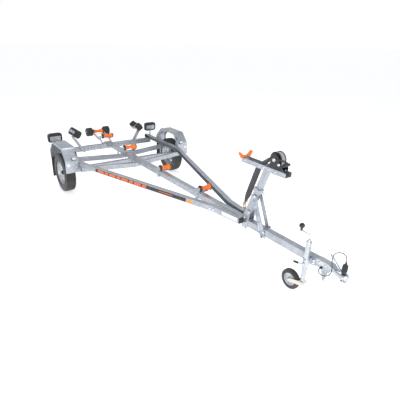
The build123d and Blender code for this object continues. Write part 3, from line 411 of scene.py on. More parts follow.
def shade(code: str) -> tuple[float, float, float, float]:
    """Linear colour of a six-digit display colour: ((c + 0.055) / 1.055) ** 2.4, or c / 12.92 near black.

    Args:
        code: six hexadecimal digits.

    Returns:
        Red, green, blue and alpha.
    """
    values = [int(code[i : i + 2], 16) / 255 for i in (0, 2, 4)]
    linear = [v / 12.92 if v <= 0.04045 else ((v + 0.055) / 1.055) ** 2.4 for v in values]
    return (*linear, 1.0)


class Tree:
    """Short calls for the nodes of one shader tree."""

    def __init__(self, tree: bpy.types.NodeTree) -> None:
        """Keeps the tree, emptied."""
        self.tree = tree
        tree.nodes.clear()

    def add(self, kind: str, inputs: dict | None = None, **settings: object) -> bpy.types.Node:
        """Adds a node.

        Args:
            kind: Blender's name of the node's type.
            inputs: values or output sockets for its inputs, by name or number.
            settings: the node's own options.

        Returns:
            The node.
        """
        node = self.tree.nodes.new(kind)
        for name, value in settings.items():
            setattr(node, name, value)
        for name, value in (inputs or {}).items():
            if isinstance(value, bpy.types.NodeSocket):
                self.tree.links.new(value, node.inputs[name])
            else:
                node.inputs[name].default_value = value
        return node

    def noise(self, vector: object, scale: object, detail: float = 2.0) -> bpy.types.NodeSocket:
        """Noise value at a scale per metre."""
        node = self.add("ShaderNodeTexNoise", {"Vector": vector, "Scale": scale, "Detail": detail})
        return node.outputs["Fac"]

    def ramp(self, value: object, low: object, high: object, to: Vec = (0.0, 1.0)) -> bpy.types.NodeSocket:
        """Value mapped from low..high to the range given, held at its ends."""
        inputs = {"Value": value, "From Min": low, "From Max": high, "To Min": to[0], "To Max": to[1]}
        return self.add("ShaderNodeMapRange", inputs).outputs["Result"]

    def math(self, operation: str, first: object, second: object) -> bpy.types.NodeSocket:
        """Two values put through one operation."""
        return self.add("ShaderNodeMath", {0: first, 1: second}, operation=operation).outputs[0]

    def mix(self, share: object, first: object, second: object) -> bpy.types.NodeSocket:
        """Colour between two colours."""
        node = self.add("ShaderNodeMix", {0: share, 6: first, 7: second}, data_type="RGBA")
        return node.outputs[2]


def new_group(name: str, inputs: dict[str, str], outputs: Sequence[str]) -> tuple[Tree, dict, dict]:
    """Empty shader group with its sockets.

    Args:
        name: the group's name.
        inputs: kind of each input, VECTOR or FLOAT, by name.
        outputs: names of the value outputs.

    Returns:
        The tree, its input sockets and its output sockets, by name.
    """
    group = bpy.data.node_groups.new(name, "ShaderNodeTree")
    tree = Tree(group)
    for socket, kind in inputs.items():
        group.interface.new_socket(socket, in_out="INPUT", socket_type=f"NodeSocket{kind}")
    for socket in outputs:
        group.interface.new_socket(socket, in_out="OUTPUT", socket_type="NodeSocketFloat")
    source, sink = tree.add("NodeGroupInput"), tree.add("NodeGroupOutput")
    return tree, dict(source.outputs.items()), dict(sink.inputs.items())


class Effects:
    """Shader groups that several finishes share, each made once."""

    def __init__(self) -> None:
        """Builds the groups."""
        self.spangle = self.make_spangle()
        self.grain = self.make_grain()
        self.grime = self.make_grime()
        self.scuffs = self.make_scuffs()
        self.weave = self.make_weave()

    @staticmethod
    def make_spangle() -> bpy.types.NodeTree:
        """Zinc crystals: one tone and one height to each cell, edges wavy with fine noise.

        Returns:
            Group with a tone and a height.
        """
        tree, source, sink = new_group("zinc_spangle", {"Vector": "Vector", "Scale": "Float"},
                                       ("Tone", "Height"))
        wobble = tree.add("ShaderNodeTexNoise", {"Vector": source["Vector"], "Scale": 140.0, "Detail": 2.0})
        spread = tree.add("ShaderNodeVectorMath", {0: wobble.outputs["Color"], "Scale": 0.006},
                          operation="SCALE")
        bent = tree.add("ShaderNodeVectorMath", {0: source["Vector"], 1: spread.outputs[0]},
                        operation="ADD")
        cells = tree.add("ShaderNodeTexVoronoi", {"Vector": bent.outputs[0], "Scale": source["Scale"]})
        parts = tree.add("ShaderNodeSeparateColor", {"Color": cells.outputs["Color"]})
        tree.tree.links.new(parts.outputs[0], sink["Tone"])
        tree.tree.links.new(parts.outputs[1], sink["Height"])
        return tree.tree

    @staticmethod
    def make_grain() -> bpy.types.NodeTree:
        """Two scales of noise: a slow tone and a fine height.

        Returns:
            Group with a tone and a height.
        """
        tree, source, sink = new_group("fine_grain", {"Vector": "Vector", "Scale": "Float"},
                                       ("Tone", "Height"))
        slow = tree.math("MULTIPLY", source["Scale"], 0.04)
        tone = tree.ramp(tree.noise(source["Vector"], slow, 4.0), 0.3, 0.7)
        tree.tree.links.new(tone, sink["Tone"])
        tree.tree.links.new(tree.noise(source["Vector"], source["Scale"]), sink["Height"])
        return tree.tree

    @staticmethod
    def make_grime() -> bpy.types.NodeTree:
        """Road dust: more of it low down and in noise's hollows.

        Returns:
            Group with a mask.
        """
        tree, source, sink = new_group("road_grime", {"Vector": "Vector", "Amount": "Float"}, ("Mask",))
        height = tree.add("ShaderNodeSeparateXYZ", {0: source["Vector"]}).outputs["Z"]
        low = tree.ramp(height, 0.75, 0.0, (0.25, 1.0))
        patches = tree.ramp(tree.noise(source["Vector"], 9.0, 6.0), 0.42, 0.75)
        tree.tree.links.new(tree.math("MULTIPLY", tree.math("MULTIPLY", low, patches), source["Amount"]),
                            sink["Mask"])
        return tree.tree

    @staticmethod
    def make_scuffs() -> bpy.types.NodeTree:
        """Handling marks: thin ridges of noise that is stretched along the trailer.

        Returns:
            Group with a mask.
        """
        tree, source, sink = new_group("handling_scuffs", {"Vector": "Vector", "Amount": "Float"},
                                       ("Mask",))
        drawn = tree.add("ShaderNodeMapping", {"Vector": source["Vector"], "Scale": (160.0, 12.0, 160.0),
                                               "Rotation": (0.1, 0.2, 0.3)})
        streak = tree.ramp(tree.noise(drawn.outputs[0], 1.0, 3.0), 0.66, 0.74)
        where = tree.ramp(tree.noise(source["Vector"], 5.0, 2.0), 0.5, 0.62)
        tree.tree.links.new(tree.math("MULTIPLY", tree.math("MULTIPLY", streak, where), source["Amount"]),
                            sink["Mask"])
        return tree.tree

    @staticmethod
    def make_weave() -> bpy.types.NodeTree:
        """Webbing: warp ribs along the strap crossed by weft, sine times sine of the UV metres.

        Returns:
            Group with a tone and a height.
        """
        tree, source, sink = new_group("webbing_weave", {"Vector": "Vector", "Scale": "Float"},
                                       ("Tone", "Height"))
        waves = []
        for direction, count in (("X", 1.0), ("Y", 0.8)):
            scale = tree.math("MULTIPLY", source["Scale"], count)
            inputs = {"Vector": source["Vector"], "Scale": scale, "Distortion": 0.4, "Detail": 1.0}
            wave = tree.add("ShaderNodeTexWave", inputs, bands_direction=direction)
            waves.append(wave.outputs["Fac"])
        height = tree.math("MULTIPLY", *waves)
        tree.tree.links.new(height, sink["Height"])
        tree.tree.links.new(tree.ramp(tree.noise(source["Vector"], 60.0, 3.0), 0.3, 0.7), sink["Tone"])
        return tree.tree


@dataclass(frozen=True)
class Finish:
    """One finish: its colours, gloss and grain."""

    name: str
    slot: str
    colour: str
    second: str
    pattern: Pattern
    roughness: tuple[float, float]
    metallic: float = 0.0
    scale: float = 900.0
    relief: float = 0.03
    contrast: float = 0.5
    grime: float = 0.25
    scuffs: float = 0.0
    coat: float = 0.0
    sheen: float = 0.0

    def group(self, effects: Effects) -> bpy.types.NodeTree:
        """The shader group of this finish's grain."""
        groups = {Pattern.SPANGLE: effects.spangle, Pattern.WOVEN: effects.weave}
        return groups.get(self.pattern, effects.grain)

    def material(self, effects: Effects) -> bpy.types.Material:
        """Builds the finish.

        Args:
            effects: the shared shader groups.

        Returns:
            A material: grain over two colours, then scuffs and dust, with a bump from the grain.
        """
        material = bpy.data.materials.new(self.name)
        material.use_nodes = True
        tree = Tree(material.node_tree)
        places = tree.add("ShaderNodeTexCoord")
        where = places.outputs["Object"]
        grain_at = places.outputs["UV"] if self.pattern is Pattern.WOVEN else where
        grain = tree.add("ShaderNodeGroup", node_tree=self.group(effects))
        grain.inputs["Scale"].default_value = self.scale
        tree.tree.links.new(grain_at, grain.inputs["Vector"])
        cloud = tree.ramp(tree.noise(where, 6.0, 4.0), 0.3, 0.7)
        tone = tree.math("MULTIPLY", grain.outputs["Tone"], self.contrast)
        patchy = tree.math("MULTIPLY", cloud, 0.5 * self.contrast)
        colour = tree.mix(tree.math("ADD", tone, patchy), shade(self.colour), shade(self.second))
        low, high = self.roughness
        rough = tree.ramp(tree.math("ADD", grain.outputs["Tone"], cloud), 0.0, 2.0, (low, high))
        if self.scuffs:
            marks = tree.add("ShaderNodeGroup", {"Vector": where, "Amount": self.scuffs},
                             node_tree=effects.scuffs)
            colour = tree.mix(marks.outputs["Mask"], colour, shade("DADCE0"))
        if self.grime:
            dust = tree.add("ShaderNodeGroup", {"Vector": where, "Amount": self.grime},
                            node_tree=effects.grime)
            colour = tree.mix(dust.outputs["Mask"], colour, shade("8C857A"))
            rough = tree.math("MAXIMUM", rough, tree.ramp(dust.outputs["Mask"], 0.0, 1.0, (low, 0.85)))
        bump = tree.add("ShaderNodeBump",
                        {"Strength": 0.6, "Distance": self.relief * MM, "Height": grain.outputs["Height"]})
        surface = tree.add("ShaderNodeBsdfPrincipled", {
            "Base Color": colour, "Roughness": rough, "Normal": bump.outputs[0], "Metallic": self.metallic,
            "Coat Weight": self.coat, "Sheen Weight": self.sheen})
        surface.inputs["Coat Roughness"].default_value = 0.12
        tree.add("ShaderNodeOutputMaterial", {"Surface": surface.outputs[0]})
        return material


@dataclass(frozen=True)
class Lens:
    """Clear or tinted lamp lens with moulded prisms."""

    name: str
    slot: str
    colour: str
    prism_scale: float = 160.0

    def material(self, effects: Effects) -> bpy.types.Material:
        """Builds the lens: glossy tinted plastic over a bump of fine upright prisms.

        Args:
            effects: the shared groups, which a lens has no use for.

        Returns:
            The material.
        """
        material = bpy.data.materials.new(self.name)
        material.use_nodes = True
        tree = Tree(material.node_tree)
        where = tree.add("ShaderNodeTexCoord").outputs["Object"]
        ribs = tree.add("ShaderNodeTexWave", {"Vector": where, "Scale": self.prism_scale},
                        bands_direction="X")
        cloud = tree.ramp(tree.noise(where, 40.0, 3.0), 0.3, 0.7)
        colour = tree.mix(tree.math("MULTIPLY", cloud, 0.25), shade(self.colour), shade("FFFFFF"))
        bump = tree.add("ShaderNodeBump",
                        {"Strength": 0.5, "Distance": 0.0006, "Height": ribs.outputs["Fac"]})
        surface = tree.add("ShaderNodeBsdfPrincipled", {
            "Base Color": colour, "Roughness": tree.ramp(cloud, 0.0, 1.0, (0.06, 0.18)),
            "Normal": bump.outputs[0]})
        surface.inputs["Coat Weight"].default_value = 0.6
        surface.inputs["Transmission Weight"].default_value = 0.15
        tree.add("ShaderNodeOutputMaterial", {"Surface": surface.outputs[0]})
        return material


GALVANISED = Finish("galvanised_steel", "galvanised_steel", "C3C7CE", "9EA4AD", Pattern.SPANGLE,
                    (0.32, 0.56),
                    metallic=0.9, scale=70.0, relief=0.05, contrast=0.55, grime=0.35, scuffs=0.25)
ZINC = Finish("bright_zinc", "bright_zinc", "D6DADF", "B4BAC2", Pattern.PLATED, (0.2, 0.4), metallic=0.95,
              scale=700.0, relief=0.02, grime=0.2, scuffs=0.3)
TYRE = Finish("tyre_rubber", "tyre_rubber", "232426", "333436", Pattern.MOULDED, (0.62, 0.85), scale=700.0,
              relief=0.15, grime=0.3, sheen=0.15)
WHEEL_SILVER = Finish("wheel_silver", "wheel_silver", "C9CCD0", "B0B4B9", Pattern.PAINTED, (0.26, 0.42),
                      metallic=0.7, scale=500.0, relief=0.02, grime=0.35, coat=0.3)
ORANGE = Finish("orange_polyurethane", "orange_polyurethane", "F77A12", "E2620C", Pattern.MOULDED,
                (0.34, 0.52),
                scale=600.0, relief=0.05, grime=0.15)
RUBBER = Finish("black_rubber", "black_rubber", "1F2022", "303134", Pattern.MOULDED, (0.5, 0.75),
                scale=800.0,
                relief=0.1, grime=0.2)
PLASTIC = Finish("black_plastic", "black_plastic", "1B1C1E", "2A2B2E", Pattern.MOULDED, (0.32, 0.5),
                 scale=1100.0,
                 relief=0.05, grime=0.12)
BLACK_PAINT = Finish("black_paint", "black_paint", "161719", "242629", Pattern.PAINTED, (0.25, 0.42),
                     metallic=0.2,
                     scale=500.0, relief=0.03, grime=0.15, scuffs=0.2, coat=0.3)
HOUSING = Finish("lamp_housing", "lamp_housing", "17181A", "25272A", Pattern.MOULDED, (0.2, 0.36),
                 scale=1200.0,
                 relief=0.03, grime=0.2)
WEBBING = Finish("webbing", "webbing", "4C4C51", "38383C", Pattern.WOVEN, (0.75, 0.92), scale=300.0,
                 relief=0.5,
                 contrast=0.6, grime=0.0, sheen=0.3)
WOUND_WEBBING = Finish("wound_webbing", "webbing", "A89EA2", "857C80", Pattern.WOVEN, (0.7, 0.9),
                       scale=300.0,
                       relief=0.4, contrast=0.4, sheen=0.3)
YELLOW_ZINC = Finish("yellow_zinc", "yellow_zinc", "C9B478", "A8925E", Pattern.PLATED, (0.22, 0.4),
                     metallic=0.9,
                     scale=700.0, relief=0.03, grime=0.15)
CREAM = Finish("cream_zinc", "bright_zinc", "E6E2D6", "CFC9BA", Pattern.PLATED, (0.3, 0.46), metallic=0.55,
               scale=600.0, relief=0.03, grime=0.2)
STICKER = Finish("black_vinyl", "black_paint", "17181B", "222327", Pattern.PAINTED, (0.22, 0.36),
                 scale=900.0,
                 relief=0.01, grime=0.1, coat=0.2)
STICKER_ORANGE = Finish("orange_vinyl", "orange_polyurethane", "EE6A22", "DD5A18", Pattern.PAINTED,
                        (0.24, 0.38),
                        scale=900.0, relief=0.01, grime=0.1, coat=0.2)
LABEL = Finish("blank_label", "black_plastic", "F2F2F0", "E4E4E2", Pattern.PAINTED, (0.3, 0.45),
               scale=900.0,
               relief=0.01, grime=0.1)
AMBER_LABEL = Finish("amber_label", "orange_polyurethane", "EBA03A", "DD8A2A", Pattern.PAINTED, (0.3, 0.45),
                     scale=900.0, relief=0.01, grime=0.1)
# Painted shade: near-black finish laid where the insides of holes and sockets lie in shade.
SHADOW = Finish("open_bore", "black_plastic", "26282B", "1C1E20", Pattern.MOULDED, (0.7, 0.9), grime=0.1)
CLEAR_LENS = Lens("clear_lens", "lamp_housing", "E9EDF0")
RED_LENS = Lens("red_lens", "lamp_housing", "B01016")
AMBER_LENS = Lens("amber_lens", "lamp_housing", "E07A12")


class Dresser:
    """Makes each finish's material once, and makes finished pieces."""

    def __init__(self) -> None:
        """Builds the shared effects."""
        self.effects = Effects()
        self.made: dict[str, bpy.types.Material] = {}

    def material(self, finish: Finish | Lens) -> bpy.types.Material:
        """The finish's material, built at its first use.

        Args:
            finish: the finish or lens.

        Returns:
            Its material.
        """
        if finish.name not in self.made:
            self.made[finish.name] = finish.material(self.effects)
        return self.made[finish.name]

    def dress(self, node: str, finish: Finish | Lens) -> None:
        """Gives a CAD node its material.

        Args:
            node: the node's name.
            finish: what it is finished in.
        """
        target = frame["nodes"][node]
        target.data.materials.clear()
        target.data.materials.append(self.material(finish))

    def add(self, name: str, surface: Surface, finish: Finish | Lens, body: str, bevel: float = 0.0,
            sharp: float = 32.0, replaces: Sequence[str] = (),
            uv: np.ndarray | None = None) -> bpy.types.Object:
        """Makes a piece of the trailer.

        Args:
            name: the piece's name.
            surface: its shape, in chassis millimetres.
            finish: what it is finished in.
            body: the CAD body it moves with.
            bevel: width of its rounded edges, 0 for none.
            sharp: angle in degrees over which an edge stays crisp.
            replaces: the CAD nodes it stands for.
            uv: one UV pair to a point, in metres, for a woven surface.

        Returns:
            The object.
        """
        mesh = bpy.data.meshes.new(name)
        rows = [row for block in surface.faces for row in block.tolist()]
        mesh.from_pydata(CHASSIS.to_row(surface.points).tolist(), [], rows)
        if uv is not None:
            corners = np.zeros(len(mesh.loops), np.int32)
            mesh.loops.foreach_get("vertex_index", corners)
            mesh.uv_layers.new(name="weave").data.foreach_set("uv", uv[corners].astype(np.float32).ravel())
        self.clean(mesh, math.radians(sharp))
        piece = bpy.data.objects.new(name, mesh)
        bpy.context.scene.collection.objects.link(piece)
        mesh.materials.append(self.material(finish))
        if bevel:
            rounding = piece.modifiers.new("rounded_edges", "BEVEL")
            rounding.width = bevel * MM
            rounding.segments = 2
            rounding.limit_method = "ANGLE"
            rounding.angle_limit = math.radians(sharp)
            rounding.harden_normals = False
        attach(piece, body)
        if replaces:
            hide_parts(*replaces)
        LOG.info("%s: %d faces on %s", name, len(mesh.polygons), body)
        return piece

    @staticmethod
    def clean(mesh: bpy.types.Mesh, sharp: float) -> None:
        """Merges doubled points, points every face outward and marks the crisp edges.

        Args:
            mesh: the mesh, which is changed in place.
            sharp: angle in radians past which an edge is crisp.
        """
        work = bmesh.new()
        work.from_mesh(mesh)
        bmesh.ops.remove_doubles(work, verts=work.verts, dist=2e-6)
        bmesh.ops.dissolve_degenerate(work, edges=work.edges, dist=1e-7)
        bmesh.ops.recalc_face_normals(work, faces=work.faces)
        for face in work.faces:
            face.smooth = True
        for edge in work.edges:
            edge.smooth = len(edge.link_faces) == 2 and edge.calc_face_angle(0.0) < sharp
        work.to_mesh(mesh)
        work.free()


DRESSER = Dresser()


# ---- stage -----------------------------------------------------------------------------------
@dataclass
class Stage:
    """Pale floor, soft lights and the camera."""

    lens: float = 34.2
    yaw: float = 0.642
    pitch: float = 0.388
    roll: float = 0.018
    camera_from_axle: tuple[float, float, float] = (-2.594, -5.656, 2.123)
    floor_reach: float = 400.0
    floor_glow: float = 0.5
    lamps: tuple[tuple[str, Vec, Vec, float, float], ...] = (
        ("key", (-5.0, -8.0, 3.4), (0.0, 0.0, 0.4), 4.0, 420.0),
        ("fill", (6.5, -5.0, 4.0), (0.0, 0.0, 0.5), 3.0, 60.0),
        ("top", (0.0, 1.0, 7.5), (0.0, 0.0, 0.0), 5.0, 190.0),
    )

    def build(self) -> None:
        """Builds everything that isn't the trailer."""
        self.place_camera()
        self.lay_floor()
        self.hang_lamps()
        self.light_room()

    def place_camera(self) -> None:
        """Camera on the coupling's side, level with the winch and turned by yaw, pitch and roll."""
        sin, cos = math.sin, math.cos
        forward = np.array((sin(self.yaw) * cos(self.pitch), cos(self.yaw) * cos(self.pitch),
                            -sin(self.pitch)))
        right = np.array((cos(self.yaw), -sin(self.yaw), 0.0))
        up = np.cross(right, forward)
        tilted = cos(self.roll) * right + sin(self.roll) * up
        raised = cos(self.roll) * up - sin(self.roll) * right
        data = bpy.data.cameras.new("camera")
        data.lens, data.sensor_width = self.lens, 36.0
        camera = bpy.data.objects.new("camera", data)
        place = np.array(self.camera_from_axle) + (0.0, CHASSIS.axle[1], 0.0)
        turn = np.eye(4)
        turn[:3, 0], turn[:3, 1], turn[:3, 2], turn[:3, 3] = tilted, raised, -forward, place
        camera.matrix_world = Matrix(turn.tolist())
        bpy.context.scene.collection.objects.link(camera)
        bpy.context.scene.camera = camera

    def lay_floor(self) -> None:
        """Level floor that runs out past the horizon's haze: a grid of x and y at height 0."""
        reach = np.linspace(-self.floor_reach, self.floor_reach, 9)
        points = np.stack(np.meshgrid(reach, reach, [0.0], indexing="ij"), -1)[:, :, 0]
        shape = grid(points)
        mesh = bpy.data.meshes.new("floor")
        mesh.from_pydata(shape.points.tolist(), [], shape.faces[0].tolist())
        floor = bpy.data.objects.new("floor", mesh)
        material = bpy.data.materials.new("pale_floor")
        material.use_nodes = True
        tree = Tree(material.node_tree)
        where = tree.add("ShaderNodeTexCoord").outputs["Object"]
        tone = tree.mix(tree.ramp(tree.noise(where, 3.0, 4.0), 0.3, 0.7), shade("F8F8F8"), shade("F5F5F6"))
        surface = tree.add("ShaderNodeBsdfPrincipled", {"Base Color": tone})
        surface.inputs["Roughness"].default_value = 0.85
        surface.inputs["Emission Color"].default_value = (1.0, 1.0, 1.0, 1.0)
        surface.inputs["Emission Strength"].default_value = self.floor_glow
        tree.add("ShaderNodeOutputMaterial", {"Surface": surface.outputs[0]})
        mesh.materials.append(material)
        bpy.context.scene.collection.objects.link(floor)

    def hang_lamps(self) -> None:
        """Large square soft lamps, each turned to its aim."""
        for name, place, aim, size, power in self.lamps:
            data = bpy.data.lights.new(name, "AREA")
            data.size, data.energy = size, power
            lamp = bpy.data.objects.new(name, data)
            lamp.location = place
            away = np.array(place, float) - np.array(aim, float)
            back = away / np.linalg.norm(away)
            side = np.cross((0.0, 1.0, 0.01), back)
            side /= np.linalg.norm(side)
            turn = np.eye(4)
            turn[:3, 0], turn[:3, 1], turn[:3, 2], turn[:3, 3] = side, np.cross(back, side), back, place
            lamp.matrix_world = Matrix(turn.tolist())
            bpy.context.scene.collection.objects.link(lamp)

    @staticmethod
    def light_room() -> None:
        """Room light that is palest at the horizon and greyer overhead, so that steel shows its faces."""
        world = bpy.data.worlds.new("room")
        world.use_nodes = True
        tree = Tree(world.node_tree)
        direction = tree.add("ShaderNodeTexCoord").outputs["Generated"]
        height = tree.add("ShaderNodeSeparateXYZ", {0: direction}).outputs["Z"]
        tone = tree.mix(tree.ramp(height, 0.16, 0.85), shade("FFFFFF"), shade("8E949C"))
        ground = tree.add("ShaderNodeBackground", {"Color": tone, "Strength": 1.0})
        tree.add("ShaderNodeOutputWorld", {"Surface": ground.outputs[0]})
        bpy.context.scene.world = world
        bpy.context.scene.view_settings.view_transform = "Standard"


# ---- sub-assemblies --------------------------------------------------------------------------
SIDES = (("left", 1), ("right", -1))


def on_side(surface: Surface, sign: int) -> Surface:
    """A left-hand surface as it is, or its mirror image on the right."""
    return surface if sign > 0 else surface.mirrored()


@dataclass
class SubAssembly:
    """A group of the trailer's pieces."""

    def build(self) -> None:
        """Builds the group's pieces and dresses its CAD nodes."""
        raise NotImplementedError


@dataclass
class RoadWheels(SubAssembly):
    """Two 155/80 R13 wheels: treaded tyre, pressed steel wheel, hub, cap and nuts."""

    radius: float = 289.0
    half_width: float = 77.5
    seat: float = 172.0
    flange: float = 183.0
    groove_depth: float = 7.0
    grooves: tuple[float, ...] = (-38.0, -13.0, 13.0, 38.0)
    blocks: int = 58
    slots: int = 12
    nuts: int = 4
    nut_circle: float = 50.0
    half_rim: float = 67.0

    def build(self) -> None:
        """Builds both wheels."""
        for side, sign in SIDES:
            body = f"wheel_{side}"
            place = CHASSIS.place_of(f"wheel_{side}_spin")
            self.build_wheel(side, sign, body, place)

    def build_wheel(self, side: str, sign: int, body: str, place: np.ndarray) -> None:
        """Builds one wheel, outboard along X times sign.

        Args:
            side: left or right.
            sign: outboard direction along X.
            body: the body that turns.
            place: the wheel's middle.
        """
        def at(surface: Surface) -> Surface:
            """The surface at this wheel."""
            return on_side(surface, sign).moved(*place)

        DRESSER.add(f"tyre_{side}_tread", at(self.tyre()), TYRE, body, sharp=28, replaces=(f"tyre_{side}",))
        rim = join((self.barrel(), self.disc(), self.hub()))
        DRESSER.add(f"wheel_{side}_pressing", at(rim), WHEEL_SILVER, body, sharp=35,
                    replaces=(f"rim_{side}",))
        DRESSER.add(f"wheel_{side}_nuts", at(self.nuts_and_valve()), ZINC, body)
        DRESSER.add(f"wheel_{side}_hub_cap", at(self.cap()), BLACK_PAINT, body, sharp=40)

    def tyre(self) -> Surface:
        """Tyre skin: the section's radius and x go round, less the grooves over the crown.

        Returns:
            A closed ring. Depth is a soft step of the distance to the nearest groove, and the
            blocks' cross grooves slant with x.
        """
        crown = np.linspace(-66, 66, 67)
        lift = self.radius - 5.0 * (np.abs(crown) / 66) ** 3
        wall_angle = np.linspace(0, 1, 15)[1:]
        wall_x = 66 + 11.5 * np.sin(wall_angle * np.pi * 0.62) ** 0.8
        wall_x = np.minimum(wall_x, self.half_width - 0.3) - 14 * np.clip(wall_angle - 0.62, 0, 1) ** 1.5
        wall_r = self.radius - 5 - wall_angle * (self.radius - 5 - self.flange)
        ribs = 1.0 * ((wall_angle > 0.18) & (wall_angle < 0.28)) + 0.8 * ((wall_angle > 0.72)
                                                                          & (wall_angle < 0.8))
        wall_x = np.minimum(wall_x + ribs, self.half_width)
        inner_x, inner_r = np.array((58.0, -58.0)), np.array((self.seat + 1, self.seat + 1))
        x = np.concatenate((crown, wall_x, inner_x, -wall_x[::-1]))
        r = np.concatenate((lift, wall_r, inner_r, wall_r[::-1]))
        angle = np.linspace(0, 2 * np.pi, 6 * self.blocks, endpoint=False)[:, None]
        middle = np.min(np.abs(crown[:, None] - np.array(self.grooves)), axis=1)
        ring_cut = np.clip((5.5 - middle) / 1.5, 0, 1)[None]
        phase = (angle * self.blocks / (2 * np.pi) + 0.018 * np.abs(crown)[None]) % 1.0
        cross_cut = np.clip((0.24 - np.minimum(phase, 1 - phase)) / 0.08, 0, 1)
        cross_cut = cross_cut * (0.45 + 0.55 * (np.abs(crown) > 38))[None]
        depth = self.groove_depth * np.maximum(ring_cut, cross_cut)
        radius = np.broadcast_to(r, (len(angle), len(r))).copy()
        radius[:, : len(crown)] -= depth
        return turned(x, radius, angle)

    def barrel(self) -> Surface:
        """Rolled barrel with a drop centre and curled flanges, as a closed section.

        Returns:
            The barrel.
        """
        half, seat, flange = self.half_rim, self.seat, self.flange
        outer = [(half, flange), (half - 3, flange + 1), (half - 5, flange - 3), (half - 7, seat + 2),
                 (half - 20, seat)]
        outer += [(half - 34, seat - 3), (20, seat - 18), (-20, seat - 18), (-34, seat - 3),
                  (20 - half, seat)]
        outer += [(7 - half, seat + 2), (5 - half, flange - 3), (3 - half, flange + 1), (-half, flange)]
        inner = [(x, r - 4) for x, r in reversed(outer)]
        return lathe([*outer, *inner], 72, closed=True)

    def disc(self) -> Surface:
        """Dished disc: two skins over a polar grid, with a slot where each arc of holes lies.

        Returns:
            The disc.
        """
        radii = np.array((30, 38, 44, 56, 64, 74, 88, 100, 112, 118, 124, 130, 136, 142, 150, 157.0))
        dish = np.interp(radii, (30, 44, 60, 84, 112, 142, 157), (24, 24, 22, 34, 40, 28, 20))
        steps = 8 * self.slots
        angle = np.linspace(0, 2 * np.pi, steps, endpoint=False)[:, None]
        skins = []
        for depth in (0.0, -4.0):
            x = np.broadcast_to(dish + depth, (steps, len(radii)))
            skins.append(np.stack((x, radii * np.cos(angle), radii * np.sin(angle)), -1))
        row, column = np.meshgrid(np.arange(steps), np.arange(len(radii) - 1), indexing="ij")
        open_slot = (row % 8 < 4) & (radii[column] >= 118) & (radii[column] < 142)
        count = len(radii)
        index = row * count + column
        ahead = (row + 1) % steps * count + column
        quads = np.stack((index, ahead, ahead + 1, index + 1), -1)[~open_slot]
        offset = steps * count
        faces = [quads, quads[:, ::-1] + offset]
        for across, along in ((1, 0), (-1, 0), (0, 1), (0, -1)):
            beside = np.roll(open_slot, -across, axis=0) if across else np.zeros_like(open_slot)
            if along:
                beside[:, 1:] |= open_slot[:, :-1] if along < 0 else False
                beside[:, :-1] |= open_slot[:, 1:] if along > 0 else False
            rim = beside & ~open_slot
            here, over = index[rim], ahead[rim]
            pairs = {(1, 0): (over, over + 1), (-1, 0): (here + 1, here), (0, 1): (over + 1, here + 1),
                     (0, -1): (here, over)}
            first, second = pairs[(across, along)]
            faces.append(np.stack((first, first + offset, second + offset, second), -1))
        edges = ((0, False), (count - 1, True))
        for column_at, outer in edges:
            ring = np.arange(steps) * count + column_at
            after = np.roll(ring, -1)
            wall = np.stack((ring, ring + offset, after + offset, after), -1)
            faces.append(wall if outer else wall[:, ::-1])
        return Surface(np.concatenate([skin.reshape(-1, 3) for skin in skins]), tuple(faces))

    def hub(self) -> Surface:
        """Bearing hub behind the disc, closed at the stub axle's seal.

        Returns:
            The hub.
        """
        profile = [(-77, 21), (-77, 44), (-70, 50), (-20, 50), (-8, 66), (16, 68), (18, 60), (18, 31),
                   (24, 30), (24, 21)]
        return lathe(profile, 48, closed=True)

    def nuts_and_valve(self) -> Surface:
        """Wheel nuts on their circle, and the valve in the disc.

        Returns:
            The nuts and the valve.
        """
        angles = np.arange(self.nuts) * 2 * np.pi / self.nuts + np.pi / 4
        nut = join((bolt(13.0, washer=False), lathe([(0, 0), (0, 15), (3, 13), (3, 0)], 20)))
        nuts = [nut.moved(23, self.nut_circle * math.cos(a), self.nut_circle * math.sin(a)) for a in angles]
        valve = lathe([(30, 0), (30, 5), (52, 4), (54, 3), (54, 0)], 12).moved(0, 0, 108)
        return join([*nuts, valve])

    def cap(self) -> Surface:
        """Pressed dust cap over the hub."""
        return lathe([(20, 0), (20, 31), (40, 30), (50, 28), (56, 22), (59, 10), (59.5, 0)], 40)


